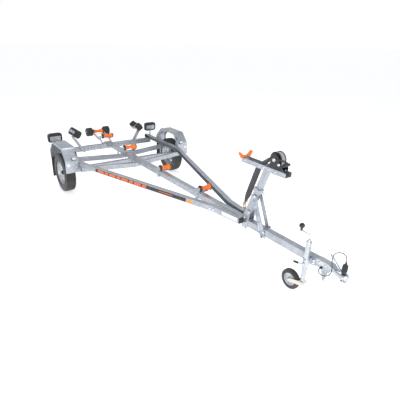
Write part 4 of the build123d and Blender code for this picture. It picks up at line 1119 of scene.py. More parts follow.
@dataclass
class Fenders(SubAssembly):
    """Folded steel fenders with lips, lamps, reflectors and flaps."""

    inner: float = 849.0
    outer: float = 1040.0
    lip: float = 25.0
    fold: float = 34.0
    edge_roll: float = 5.0
    wall: float = 2.5
    line: tuple[Vec, ...] = ((-393, 397), (-393, 578), (-252, 740), (165, 740), (330, 578), (330, 450))

    def build(self) -> None:
        """Builds both fenders with what is on them."""
        for side, sign in SIDES:
            DRESSER.add(f"fender_{side}_sheet", on_side(self.sheet(), sign), GALVANISED, "frame", sharp=40,
                        replaces=(f"fender_{side}",))
            DRESSER.add(f"fender_{side}_bolts", on_side(self.bolts(), sign), ZINC, "frame")
            DRESSER.add(f"flap_{side}_clamp", on_side(self.flap_clamp(), sign), GALVANISED, "frame",
                        bevel=0.8)
            DRESSER.add(f"reflector_{side}", on_side(self.reflector(), sign), CLEAR_LENS, "frame", sharp=50)
            # Painted shade: a black strip on each front slope's inner edge stands in for the shaded gap there.
            DRESSER.add(f"fender_gap_shade_{side}", on_side(self.gap_shade_strip(), sign), PLASTIC, "frame",
                        bevel=1.5)

    def path(self) -> tuple[np.ndarray, np.ndarray]:
        """Side line with rounded folds, and the direction into the wheel arch at each point.

        Returns:
            The line and the inward directions.
        """
        flat = eased([(0.0, y, z) for y, z in self.line], self.fold, 9)
        line = divided(flat, 9.0)
        return line, ring_path(line, RIGHT)[0]

    def sheet(self) -> Surface:
        """Fender: a U section with rolled corners carried along the side line, two skins thick.

        Returns:
            The fender.
        """
        line, outward = self.path()
        corner = np.linspace(0, np.pi / 2, 5)
        roll = self.edge_roll
        skins = []
        for inset in (0.0, self.wall):
            r = roll - inset
            left_x = self.inner + roll - r * np.cos(corner)
            left_d = roll - r * np.sin(corner)
            right_x = self.outer - roll + r * np.cos(corner[::-1])
            right_d = roll - r * np.sin(corner[::-1])
            x = np.concatenate(([self.inner + inset], left_x, right_x, [self.outer - inset]))
            down = np.concatenate(([self.lip], left_d, right_d, [self.lip]))
            skins.append((x, down))
        x = np.concatenate((skins[0][0], skins[1][0][::-1]))
        down = np.concatenate((skins[0][1], skins[1][1][::-1]))
        sign = 1.0 if outward[len(outward) // 2, 2] > 0 else -1.0
        rows = line[:, None] - sign * outward[:, None] * down[None, :, None]
        rows[..., 0] = x
        return capped(rows)

    def bolts(self) -> Surface:
        """Mushroom bolts on the flat top and the two aprons, and hexagon bolts into the brackets.

        Returns:
            The bolts.
        """
        dome = lathe([(0, 0), (0, 11), (2.5, 9.5), (4.5, 6), (5.5, 0)], 16)
        top = self.line[2][1]
        places = [dome.placed((x, y, top), (0, 0, 1)) for x in (self.inner + 30, self.outer - 60)
                  for y in (110, 140)]
        fronts = [dome.placed((self.inner + 34, self.line[0][0], z), (0, -1, 0)) for z in (470, 540)]
        sides = [bolt(8).placed((self.inner + 3.5, y, 540), (1, 0, 0)) for y in (-350, -325, 290, 275)]
        return join([*places, *fronts, *sides])

    def flap_clamp(self) -> Surface:
        """Flat bar and bolts that hold the mudflap to the rear apron.

        Returns:
            The bar and its bolts.
        """
        y = self.line[-1][0]
        bar = slab((self.inner + 18, self.outer - 14), (y + 5, y + 9), (492, 516))
        heads = [bolt(8).placed((x, y + 9, 504), (0, 1, 0)) for x in (self.inner + 40, self.outer - 40)]
        return join([bar, *heads])

    def reflector(self) -> Surface:
        """Round reflector on the front apron, near its outer edge."""
        return lathe([(0, 0), (0, 25), (3, 25), (5, 22), (6, 0)],
                     28).placed((1001, self.line[0][0] + 0.5, 515), (0, -1, 0))

    def gap_shade_strip(self) -> Surface:
        """Black strip of painted shade on the front slope's inner edge, for the gap there that lies in shade.

        Returns:
            The strip.
        """
        start, end = np.array(self.line[1], float), np.array(self.line[2], float)
        run = (end - start) / np.linalg.norm(end - start)
        normal = np.array((-run[1], run[0]))
        low, high = start + run * 70, start + run * 135
        corners = [low, high, high + normal * 5, low + normal * 5]
        return prism([tuple(c) for c in corners], (self.inner + 6, self.inner + 20))


@dataclass
class Lamps(SubAssembly):
    """Rear lamp clusters and front position lamps."""

    rear_size: tuple[float, float, float] = (225.0, 50.0, 150.0)
    rear_place: tuple[float, float, float] = (870.0, 600.0, 680.0)
    marker_x: float = 915.0

    def build(self) -> None:
        """Builds both rear clusters and both position lamps."""
        for index, (side, sign) in enumerate(SIDES):
            stands = (("tail_lamps", "marker_lamps") if index == 0 else ())
            DRESSER.add(f"tail_lamp_{side}_housing", on_side(self.housing(), sign), HOUSING, "frame",
                        sharp=40,
                        replaces=stands[:1])
            for name, span, finish in (("brake", (-104, -36), RED_LENS), ("turn", (-33, 30), AMBER_LENS),
                                       ("reverse", (33, 62), CLEAR_LENS), ("plate", (65, 104), RED_LENS)):
                DRESSER.add(f"tail_lamp_{side}_{name}", on_side(self.lens(span), sign), finish, "frame",
                            bevel=3.0)
            base, lens = self.marker()
            DRESSER.add(f"marker_{side}_base", on_side(base, sign), PLASTIC, "frame", bevel=2.0,
                        replaces=stands[1:])
            DRESSER.add(f"marker_{side}_lens", on_side(lens, sign), CLEAR_LENS, "frame", bevel=4.0)

    def housing(self) -> Surface:
        """Rounded box: a superellipse section whose size shrinks towards the front and rear rims.

        Returns:
            The housing.
        """
        width, depth, height = self.rear_size
        angle = np.linspace(0, 2 * np.pi, 64, endpoint=False)
        power = 0.42
        x = np.sign(np.cos(angle)) * np.abs(np.cos(angle)) ** power * width / 2
        z = np.sign(np.sin(angle)) * np.abs(np.sin(angle)) ** power * height / 2
        shares = np.array((0.0, 0.86, 0.95, 1.0, 1.0, 0.97, 0.93, 0.0))
        depths = np.array((-1.0, -1.0, -0.94, -0.8, 0.55, 0.78, 0.82, 0.82)) * depth / 2
        rows = np.stack(
            (shares[:, None] * x, np.broadcast_to(depths[:, None], (len(shares), 64)), shares[:, None] * z),
            -1)
        return grid(rows, wrap_columns=True).moved(*self.rear_place)

    def lens(self, span: Vec) -> Surface:
        """One chamber's lens, standing just proud of the housing.

        Args:
            span: start and end along X from the lamp's middle.

        Returns:
            The lens.
        """
        x, y, z = self.rear_place
        half = self.rear_size[2] / 2 - 16
        back = y + self.rear_size[1] / 2
        return slab((x + span[0], x + span[1]), (back - 8, back), (z - half, z + half))

    def marker(self) -> tuple[Surface, Surface]:
        """Position lamp on the fender's front slope: a black foot under a pale lens.

        Returns:
            The foot and the lens.
        """
        (low_y, low_z), (high_y, high_z) = Fenders.line[1:3]
        slope = math.atan2(high_z - low_z, high_y - low_y)
        out, along = (0.0, -math.sin(slope), math.cos(slope)), (0.0, math.cos(slope), math.sin(slope))
        origin = np.array((self.marker_x, low_y, low_z)) + 20 * np.array(along)
        foot = slab((0, 9), (-32, 32), (-20, 20)).placed(origin, out, along)
        lens = slab((8, 24), (-28, 28), (-16, 16)).placed(origin, out, along)
        return foot, lens


@dataclass
class Rollers(SubAssembly):
    """Waisted orange keel rollers with black end rings, and plain black rubber rollers."""

    keel: tuple[tuple[str, str, float], ...] = (
        ("keel_roller_front", "keel_roller_front", 155.0),
        ("keel_roller_middle", "keel_roller_middle", 160.0),
        ("keel_roller_rear", "keel_roller_rear", 200.0),
        ("cradle_roller_front", "cradle_roller_front", 190.0),
        ("cradle_roller_rear", "cradle_rollers_rear", 190.0),
    )
    end_radius: float = 42.0
    waist_radius: float = 25.0
    end_ring: float = 15.0
    ribs: int = 12
    bore: float = 9.2
    side_size: tuple[float, float] = (74.0, 98.0)
    side_offset: float = 157.0
    hull_size: tuple[float, float] = (63.0, 92.0)
    plate_outside: float = 56.0

    def build(self) -> None:
        """Builds every roller and the nuts on its pin."""
        for node, body, length in self.keel:
            self.add_keel_roller(node, body, length)
        self.add_side_rollers()
        for end in ("front", "rear"):
            for side, _ in SIDES:
                self.add_hull_roller(end, side)
        for side, _ in SIDES:
            self.add_bogie_nuts(side)

    def add_keel_roller(self, node: str, body: str, length: float) -> None:
        """Adds one orange roller, its end rings and the nuts beside it.

        Args:
            node: the CAD node it stands for.
            body: the body it turns with.
            length: its whole length.
        """
        place = CHASSIS.place_of(f"{body}_spin")
        DRESSER.add(f"{node}_tread", self.waisted(length).moved(*place), ORANGE, body, sharp=40,
                    replaces=(node,))
        half, ring, radius = length / 2, self.end_ring, self.end_radius
        profile = [(half - ring, self.bore), (half - ring, radius - 3), (half - ring + 2, radius),
                   (half - 3, radius)]
        profile += [(half - 1, radius - 2), (half, radius - 6), (half, self.bore)]
        cap = lathe(profile, 40, closed=True)
        DRESSER.add(f"{node}_rings", paired(cap).moved(*place), RUBBER, body, sharp=40)
        outer = half + 8 if body.startswith("keel") else half + 9
        carrier = "frame" if body.startswith("keel") else "keel_cradle"
        if node != "cradle_roller_rear":
            nut = bolt(13, washer=True).moved(outer)
            DRESSER.add(f"{node}_nuts", paired(nut).moved(*place), ZINC, carrier)

    def waisted(self, length: float) -> Surface:
        """Waisted tread: the radius grows with x to the power 1.8, less shallow lengthwise flutes.

        Args:
            length: the roller's whole length.

        Returns:
            The tread.
        """
        reach = length / 2 - self.end_ring
        x = np.linspace(-reach, reach, 41)
        flare = self.waist_radius + (self.end_radius - 1 - self.waist_radius) * np.abs(x / reach) ** 1.8
        angle = np.linspace(0, 2 * np.pi, 8 * self.ribs, endpoint=False)[:, None]
        flute = 1.3 * np.clip(np.cos(self.ribs * angle), 0, 1) * (1 - np.abs(x / reach) ** 6)
        radius = flare - flute
        core = np.full((len(angle), 1), self.bore)
        radius = np.hstack((core, radius, core))
        x = np.concatenate(([x[0]], x, [x[-1]]))
        return turned(x, radius, angle)

    def plain(self, radius: float, width: float) -> Surface:
        """Plain rubber roller: rounded shoulders, three fine grooves and dished sides.

        Args:
            radius: outer radius.
            width: width over the sides.

        Returns:
            The roller.
        """
        half = width / 2
        side = [(half, self.bore), (half, 20), (half - 4, 23), (half - 4, radius - 20), (half, radius - 16)]
        turn = np.linspace(0, np.pi / 2, 6)
        shoulder = [(half - 9 + 9 * math.cos(t), radius - 9 + 9 * math.sin(t)) for t in turn]
        lines = [(x + dx, radius - deep) for x in (half / 2, 0.0, -half / 2)
                 for dx, deep in ((2.5, 0), (1.2, 1.6), (-1.2, 1.6), (-2.5, 0))]
        mirrored = [(-x, r) for x, r in reversed([*side, *shoulder])]
        return lathe([*side, *shoulder, *lines, *mirrored], 56, closed=True)

    def add_side_rollers(self) -> None:
        """Adds the two plain rollers outside the cradle's rear roller, with their end nuts."""
        place = CHASSIS.place_of("cradle_rollers_rear_spin")
        roller = self.plain(*self.side_size).moved(self.side_offset)
        DRESSER.add("cradle_side_rollers_rubber", paired(roller).moved(*place), RUBBER,
                    "cradle_rollers_rear", sharp=50, replaces=("cradle_side_rollers",))
        nut = bolt(13).moved(self.side_offset + self.side_size[1] / 2)
        DRESSER.add("cradle_side_nuts", paired(nut).moved(*place), ZINC, "keel_cradle")

    def add_hull_roller(self, end: str, side: str) -> None:
        """Adds one fat roller of a bogie.

        Args:
            end: front or rear.
            side: left or right.
        """
        name = f"hull_roller_{end}_{side}"
        axis = CHASSIS.axis_of(f"{name}_spin")
        place = CHASSIS.place_of(f"{name}_spin")
        DRESSER.add(f"{name}_rubber", self.plain(*self.hull_size).placed(place, axis), RUBBER, name,
                    sharp=50,
                    replaces=(name,))
        nut = bolt(12).moved(self.plate_outside)
        pair = paired(nut).placed(place, axis)
        DRESSER.add(f"{name}_nuts", pair, ZINC, f"hull_bogie_{side}")

    def add_bogie_nuts(self, side: str) -> None:
        """Adds the nuts on a bogie's tilt pin.

        Args:
            side: left or right.
        """
        name = f"hull_bogie_{side}_tilt"
        axis = CHASSIS.axis_of(name)
        nut = bolt(14).moved(self.plate_outside + 1)
        pair = paired(nut).placed(CHASSIS.place_of(name), axis)
        DRESSER.add(f"{name}_nuts", pair, ZINC, "frame")


@dataclass
class SideBands(SubAssembly):
    """Vinyl band with plain blocks, and blank labels, on the side members' outer faces."""

    bend: Vec = (845.0, -440.0)
    neck: Vec = (155.0, -2600.0)
    nose: Vec = (103.0, -3000.0)
    middle: float = 510.0
    band: tuple[float, float] = (320.0, 1907.0)
    blocks: tuple[float, ...] = (118.0, 70.0, 118.0, 70.0, 118.0, 70.0, 118.0, 70.0)
    gap: float = 22.0

    def build(self) -> None:
        """Builds both sides."""
        for side, sign in SIDES:
            def add(name: str, surface: Surface, finish: Finish) -> None:
                """Adds a flat piece on this side."""
                DRESSER.add(f"{name}_{side}", on_side(surface, sign), finish, "frame")

            long_face, short_face = (self.bend, self.neck), (self.neck, self.nose)
            add("vinyl_band", self.strip(long_face, self.band, (-24, 24), 0.5), STICKER)
            add("vinyl_blocks", self.block_row(long_face), STICKER_ORANGE)
            add("vinyl_line", self.strip(long_face, (1484, 1701), (-5, 4), 0.9), STICKER_ORANGE)
            add("amber_tag", self.strip(long_face, (1923, 1998), (-23, 19), 0.6), AMBER_LABEL)
            add("blank_label", self.strip(short_face, (161, 385), (-17, 25), 0.6), LABEL)

    @staticmethod
    def on_face(surface: Surface, face: tuple[Vec, Vec], middle: float) -> Surface:
        """A flat piece laid on a face: its X along the face, its Y outward.

        Args:
            surface: the piece, round the origin.
            face: the face's start and end as (x, y).
            middle: height of the face's middle.

        Returns:
            The piece on the face.
        """
        start, end = np.array(face[0], float), np.array(face[1], float)
        run = (end - start) / np.linalg.norm(end - start)
        return surface.placed((*start, middle), (*run, 0.0))

    def strip(self, face: tuple[Vec, Vec], along: Vec, across: Vec, proud: float) -> Surface:
        """Thin flat strip on a face of the left side member."""
        return self.on_face(slab(along, (-0.2, proud), across), face, self.middle)

    def block_row(self, face: tuple[Vec, Vec]) -> Surface:
        """Row of slanted blocks of two widths, each shifted along by the widths before it.

        Args:
            face: the face's start and end as (x, y).

        Returns:
            The row of blocks.
        """
        starts = self.band[0] + 42 + np.cumsum([0, *(width + self.gap for width in self.blocks[:-1])])
        row = [prism([(s, -19), (s + width, -19), (s + width + 13, 17), (s + 13, 17)], (-0.2, 0.9), along=1)
               for s, width in zip(starts, self.blocks)]
        return self.on_face(join(row), face, self.middle)


@dataclass
class ChassisFittings(SubAssembly):
    """Bolts, U-bolts, welds and end caps of the frame, and painted shade in its holes."""

    rail_x: float = 845.0
    rail_bottom: float = 480.0
    beam_front: float = 540.0
    beam_rear: float = 600.0
    spine_half: float = 35.0
    spine_bottom: float = 459.0
    bracket_rollers: tuple[str, ...] = ("front", "middle", "rear")
    cross_y: tuple[float, float] = (60.0, -450.0)
    hole_x: tuple[float, ...] = (140, 195, 249, 304, 357, 560, 615, 670)
    hole_z: float = 447.0

    def build(self) -> None:
        """Builds the fittings by kind."""
        DRESSER.add("frame_bolts", self.bolts(), ZINC, "frame")
        DRESSER.add("frame_u_bolts", self.u_bolts(), ZINC, "frame")
        DRESSER.add("frame_welds", self.welds(), GALVANISED, "frame", sharp=60)
        DRESSER.add("frame_end_caps", self.end_caps(), PLASTIC, "frame", bevel=2.0)
        # Painted shade: dark discs where the rear beam's open holes lie in shade.
        DRESSER.add("beam_holes", self.holes(), SHADOW, "frame")

    def bolts(self) -> Surface:
        """Bolt heads on the side members, the cheeks, the roller clamps, the axle and the lamps.

        Returns:
            The bolts.
        """
        heads = []
        for y in (self.cross_y[0] - 14, self.cross_y[0] + 14, -406, -378, 604, 626):
            heads.append(bolt(11).placed((self.rail_x, y, 508), (1, 0, 0)))
        faces = ((2245, (SideBands.bend, SideBands.neck)), (30, (SideBands.neck, SideBands.nose)))
        for along, face in faces:
            head = bolt(11).placed((along, 0, -8), (0, 1, 0))
            heads.append(SideBands.on_face(head, face, SideBands.middle))
        for y in (-500, -440):
            heads.append(bolt(11).placed((41, y, 430), (1, 0, 0)))
            heads.append(bolt(11).placed((41, y, 490), (1, 0, 0)))
        for z in (425, 490):
            heads.append(bolt(11).placed((37, self.cross_y[0], z), (1, 0, 0)))
        for label in self.bracket_rollers:
            y = CHASSIS.place_of(f"keel_roller_{label}_spin")[1]
            for shift in (94, 126):
                heads.append(bolt(10).placed((self.spine_half + 5, y + shift, self.spine_bottom - 12),
                                             (1, 0, 0)))
                heads.append(tube([(0, y + shift, self.spine_bottom - 12),
                                   (40, y + shift, self.spine_bottom - 12)], 5))
            for shift in (78, 142):
                heads.append(bolt(8).placed((60, y + shift, 534), (0, 0, 1)))
        for y in (-180, -80):
            heads.append(bolt(12, 10).placed((820, y, 455), (1, 0, 0)))
        for x, z in ((50, 425), (-50, 425), (50, 470)):
            heads.append(bolt(11).placed((x, self.beam_front - 6, z), (0, -1, 0)))
        heads.append(bolt(10).placed((849, 550, 508), (1, 0, 0)))
        heads += [bolt(8).placed((870 + x, 571, 660), (0, -1, 0)) for x in (-45, 45)]
        heads += [bolt(9).placed((x, self.beam_rear - 12, self.rail_bottom + 6), (0, 0, 1))
                  for x in (30, 62)]
        return paired(*heads)

    def u_bolts(self) -> Surface:
        """U-bolts round the feet of the bogie posts and the axle's plates, with nuts behind.

        Returns:
            The U-bolts.
        """
        parts = []
        for z, middle in ((424, 452), (458, 471)):
            line = eased([(middle - 30, 612, z), (middle - 30, 494, z), (middle + 30, 494, z),
                          (middle + 30, 612, z)], 14)
            parts.append(tube(line, 5))
            parts += [bolt(10).placed((middle + side * 30, self.beam_rear, z), (0, 1, 0))
                      for side in (-1, 1)]
        for x in (690, 750):
            line = eased([(x, -170, 470), (x, -170, 312), (x, -90, 312), (x, -90, 470)], 14)
            parts.append(tube(line, 5.5, up=(1, 0, 0)))
        return paired(*parts)

    def welds(self) -> Surface:
        """Weld beads round the post's foot, the axle's hangers and the beam's lugs.

        Returns:
            The beads.
        """
        beads = [
            weld([(790, -195, 480), (790, -70, 480)], 3.0),
            weld([(809, -155, 381), (809, -105, 381)], 3.0),
            weld([(418, 500, 402), (455, 500, 402)], 3.0),
            weld([(41, -475, 412), (41, -425, 412)], 2.5),
            weld([(31, 537, 484), (64, 537, 484)], 2.5),
        ]
        return paired(*beads)

    def end_caps(self) -> Surface:
        """Plastic caps in the ends of the side members and the rear beam.

        Returns:
            The caps.
        """
        nose = slab((45, 102), (-3013, -2999), (481, 539))
        tail = slab((786, 844), (639, 646), (481, 539))
        beam = slab((self.rail_x - 1, self.rail_x + 6), (self.beam_front + 1, self.beam_rear - 1),
                    (401, 479))
        return paired(nose, tail, beam)

    def holes(self) -> Surface:
        """Open bolt holes in the rear beam's faces: discs of painted shade a hair proud of the steel.

        Returns:
            The discs.
        """
        disc = lathe([(0, 0), (0, 7.5), (0.4, 7.5), (0.4, 0)], 20)
        front = [disc.placed((x, self.beam_front, self.hole_z), (0, -1, 0)) for x in self.hole_x]
        rear = [disc.placed((x, self.beam_rear, self.hole_z), (0, 1, 0)) for x in self.hole_x]
        return paired(*front, *rear)


@dataclass
class WinchPost(SubAssembly):
    """Fittings of the winch post: saddle bolts, collar, strut bolts and the bow stop."""

    foot: Vec = (-3032.0, 590.0)
    head: Vec = (-3232.0, 1128.0)
    head_base: float = 1130.0
    head_depth: float = 46.0
    rear_end: float = -2905.0

    def build(self) -> None:
        """Builds the post's fittings and the bow stop."""
        DRESSER.add("winch_post_bolts", self.bolts(), ZINC, "frame")
        DRESSER.add("winch_post_grip", self.grip(), ZINC, "frame", sharp=50)
        DRESSER.add("strut_feet", self.strut_feet(), PLASTIC, "frame", bevel=2.0)
        DRESSER.add("bow_stop_block", self.stop(), ORANGE, "frame", bevel=5.0, sharp=20,
                    replaces=("bow_stop",))
        DRESSER.add("bow_stop_stem", self.stem(), GALVANISED, "frame", bevel=1.0)

    def bolts(self) -> Surface:
        """Through bolts of the saddle, the struts and the channel.

        Returns:
            The bolts.
        """
        y = self.foot[0]
        places = [(40, y - 38, 620), (40, y + 20, 545), (40, y + 20, 437), (40, y - 22, 437),
                  (44, -3136, 826)]
        places += [(44, -3318, 446), (44, -3306, 500), (42, -3370, 1150), (42, -3215, 1150),
                   (42, -2955, 1152)]
        return paired(*[bolt(11).placed(place, (1, 0, 0)) for place in places])

    def grip(self) -> Surface:
        """Clamp screw in the collar's front with a ring to turn it by, and the collar's rolled edge.

        Returns:
            The screw and the edge.
        """
        along = np.array((0.0, self.head[0] - self.foot[0], self.head[1] - self.foot[1]))
        along /= np.linalg.norm(along)
        front = np.array((0.0, -along[2], along[1]))
        middle = np.array((0.0, *self.foot)) + 333 * along
        start = middle + 36 * front
        screw = tube([start, start + 34 * front], 5, up=(1, 0, 0))
        turn = np.linspace(0, 2 * np.pi, 25)
        centre = start + 50 * front
        ring = centre + 17 * (np.cos(turn)[:, None] * front + np.sin(turn)[:, None] * RIGHT)
        nut = bolt(12, washer=True).placed(start, front)
        return join((screw, tube(ring, 3.2, up=along), nut))

    def strut_feet(self) -> Surface:
        """Plastic end on the far strut's lip, above the spine."""
        return slab((44, 68), (-3300, -3282), (508, 532))

    def stop(self) -> Surface:
        """V block that the bow comes up against: its outline pulled along the trailer.

        Returns:
            The block.
        """
        z = self.head_base + self.head_depth + 2
        outline = [(-78, 58), (-30, 16), (0, 8), (30, 16), (78, 58), (88, 40), (52, -12), (0, -16),
                   (-52, -12), (-88, 40)]
        return prism([(x, z + rise) for x, rise in outline], (self.rear_end - 24, self.rear_end + 10),
                     along=1)

    def stem(self) -> Surface:
        """Bracket and cross bolt under the V block.

        Returns:
            The bracket and bolt.
        """
        y, z = self.rear_end - 20, self.head_base + self.head_depth
        cheek = prism([(y - 22, z - 36), (y + 24, z - 36), (y + 26, z + 18), (y + 2, z + 24),
                       (y - 22, z + 4)], (17, 21))
        screw = bolt(10).placed((38, y + 4, z + 10), (1, 0, 0))
        rod = tube([(0, y + 4, z + 10), (38, y + 4, z + 10)], 5)
        return paired(cheek, screw, rod)


@dataclass
class Winch(SubAssembly):
    """Winch drum with wound webbing, its gear case and handle, and the strap to the hook."""

    half: float = 31.0
    flange: float = 74.0
    roll: float = 67.0
    pin: float = 10.2
    plate_x: float = 40.0
    strap_half: float = 31.0
    strap_twist: float = 0.6
    strap_thickness: float = 3.0
    strap_line: tuple[Vec, ...] = ((-3283.0, 1274.0), (-3120.0, 1138.0), (-2974.0, 705.0))
    crank: tuple[Vec, ...] = ((-50.0, -3345.0, 1268.0), (-52.0, -3440.0, 1290.0), (-54.0, -3530.0, 1278.0))

    def build(self) -> None:
        """Builds the winch and its strap."""
        y, z = CHASSIS.place_of("winch_drum_spin")[1:]
        DRESSER.add("drum_flanges", self.flanges().moved(0, y, z), BLACK_PAINT, "winch_drum", sharp=40,
                    replaces=("winch_drum",))
        roll, uv = self.wound()
        DRESSER.add("drum_webbing", roll.moved(0, y, z), WOUND_WEBBING, "winch_drum", sharp=50, uv=uv)
        DRESSER.add("winch_gear_case", self.gear_case().moved(0, y, z), BLACK_PAINT, "frame", bevel=1.5)
        DRESSER.add("winch_nuts", self.nuts(y, z), ZINC, "frame")
        DRESSER.add("winch_handle_bar", self.bar(), BLACK_PAINT, "frame", bevel=1.5)
        DRESSER.add("winch_handle_grip", self.grip(), PLASTIC, "frame", sharp=40)
        strap, uv = self.strap()
        DRESSER.add("strap_webbing", strap, WEBBING, "frame", sharp=50, replaces=("winch_strap",), uv=uv)
        DRESSER.add("hook_latch", self.latch(), YELLOW_ZINC, "frame", bevel=0.8)

    def flanges(self) -> Surface:
        """Two pressed flanges with rolled rims and a stiffening rib, turned about the pin.

        Returns:
            The flanges.
        """
        h, rim = self.half, self.flange
        profile = [(h - 3, self.pin), (h, self.pin), (h, 26), (h - 2, 30), (h - 2, 44), (h, 48),
                   (h, rim - 2)]
        profile += [(h - 1, rim), (h - 4, rim), (h - 4.5, rim - 2), (h - 3, rim - 4)]
        side = lathe(profile, 56, closed=True)
        return join((side, side.mirrored()))

    def wound(self) -> tuple[Surface, np.ndarray]:
        """Webbing on the drum: a spiral seen as steps of the radius, with UV along and across it.

        Returns:
            The webbing and its UV.
        """
        edge = self.half - 4
        x = np.array((-edge, -edge, -edge + 1, 0, edge - 1, edge, edge))
        r = np.array((self.pin + 4, self.roll - 1, self.roll, self.roll + 0.4, self.roll, self.roll - 1,
                      self.pin + 4))
        surface = lathe(list(zip(x, r)), 64, closed=True)
        angle = np.repeat(np.linspace(0, 2 * np.pi, 64, endpoint=False), len(x))
        return surface, np.stack((angle * self.roll, surface.points[:, 0]), -1) * MM

    def gear_case(self) -> Surface:
        """Round gear cover on the near plate, with the drive shaft's boss.

        Returns:
            The cover and boss.
        """
        cover = lathe([(0, 0), (0, 56), (6, 56), (9, 52), (9, 20), (14, 18), (14, 0)], 40).placed(
            (-self.plate_x, 0, 0), (-1, 0, 0))
        far = lathe([(0, 0), (0, 24), (6, 22), (6, 0)], 32).placed((self.plate_x, 0, 0), (1, 0, 0))
        return join((cover, far))

    def nuts(self, y: float, z: float) -> Surface:
        """Nuts on the drum's pin, the drive shaft and the base.

        Args:
            y: the drum pin's place along Y.
            z: its height.

        Returns:
            The nuts.
        """
        x = self.plate_x
        parts = [bolt(15).placed((x + 6, y, z), (1, 0, 0)), bolt(15).placed((-x - 14, y, z), (-1, 0, 0))]
        parts += [bolt(13).placed((-x, y - 50, z - 35), (-1, 0, 0)),
                  bolt(13).placed((x, y - 50, z - 35), (1, 0, 0))]
        parts += [bolt(9).placed((side * 24, y - 84, 1180), (0, 0, 1)) for side in (-1, 1)]
        return join(parts)

    def bar(self) -> Surface:
        """Flat handle bar: a rounded rectangle carried along the crank's line.

        Returns:
            The bar.
        """
        line = divided(eased(self.crank, 40), 8)
        profile = [(-3, -8), (3, -8), (3, 8), (-3, 8)]
        return sweep(profile, line, up=(0, 0, 1))

    def grip(self) -> Surface:
        """Turned grip that stands out from the bar's end."""
        profile = [(0, 0), (0, 11), (4, 13), (40, 15), (72, 13), (84, 14), (90, 10), (92, 0)]
        return lathe(profile, 24).placed(self.crank[-1], (-1, 0, 0))

    def strap(self) -> tuple[Surface, np.ndarray]:
        """Taut webbing that narrows to the hook's eye, with a sewn lap.

        Returns:
            The webbing and its UV. It twists by the sine of its share of the way, to a power.
        """
        corners = [(0.0, y, z) for y, z in self.strap_line]
        line = divided(eased(corners, 30), 8.0)
        along = np.concatenate(([0], np.cumsum(np.linalg.norm(np.diff(line, axis=0), axis=1))))
        share = np.clip((along - along[-1] + 95) / 95, 0, 1)
        width = self.strap_half * (1 - 0.52 * share**1.4)
        lap = self.strap_thickness / 2 * (1 + 0.9 * (along > along[-1] - 150))
        side = ring_path(line, RIGHT)[0]
        across = np.array((-1.0, -0.5, 0.0, 0.5, 1.0))
        top = np.stack((across, np.array((0.8, 1, 1, 1, 0.8))), -1)
        profile = np.concatenate((top, top[::-1] * (1, -1)))
        crown = 1 - 0.15 * share[:, None] * profile[None, :, 0] ** 2
        twist = self.strap_twist * np.sin(np.pi * np.clip(along / along[-1], 0, 1))[:, None] ** 0.4
        facing = -np.sign(side[:, 1:2])
        front = side * facing
        level = np.cos(twist) * RIGHT + np.sin(twist) * front
        normal = (np.cos(twist) * front - np.sin(twist) * RIGHT) * facing
        rows = line[:, None] + (width[:, None] * profile[None, :, 0])[..., None] * level[:, None]
        rows = rows + (lap[:, None] * crown * profile[None, :, 1])[..., None] * normal[:, None]
        uv = np.stack((np.repeat(along, len(profile)), (width[:, None] * profile[None, :, 0]).ravel()),
                      -1) * MM
        return capped(rows), uv

    def latch(self) -> Surface:
        """Spring latch across the hook's mouth, and the swivel's collar.

        Returns:
            The latch and collar.
        """
        collar = lathe([(0, 0), (0, 11), (8, 12), (14, 10), (14, 0)], 20).placed((0, -2972, 688),
                                                                                 (0, 0.2, -1))
        tongue = slab((-6, 6), (-2948, -2945), (640, 672))
        return join((collar, tongue))


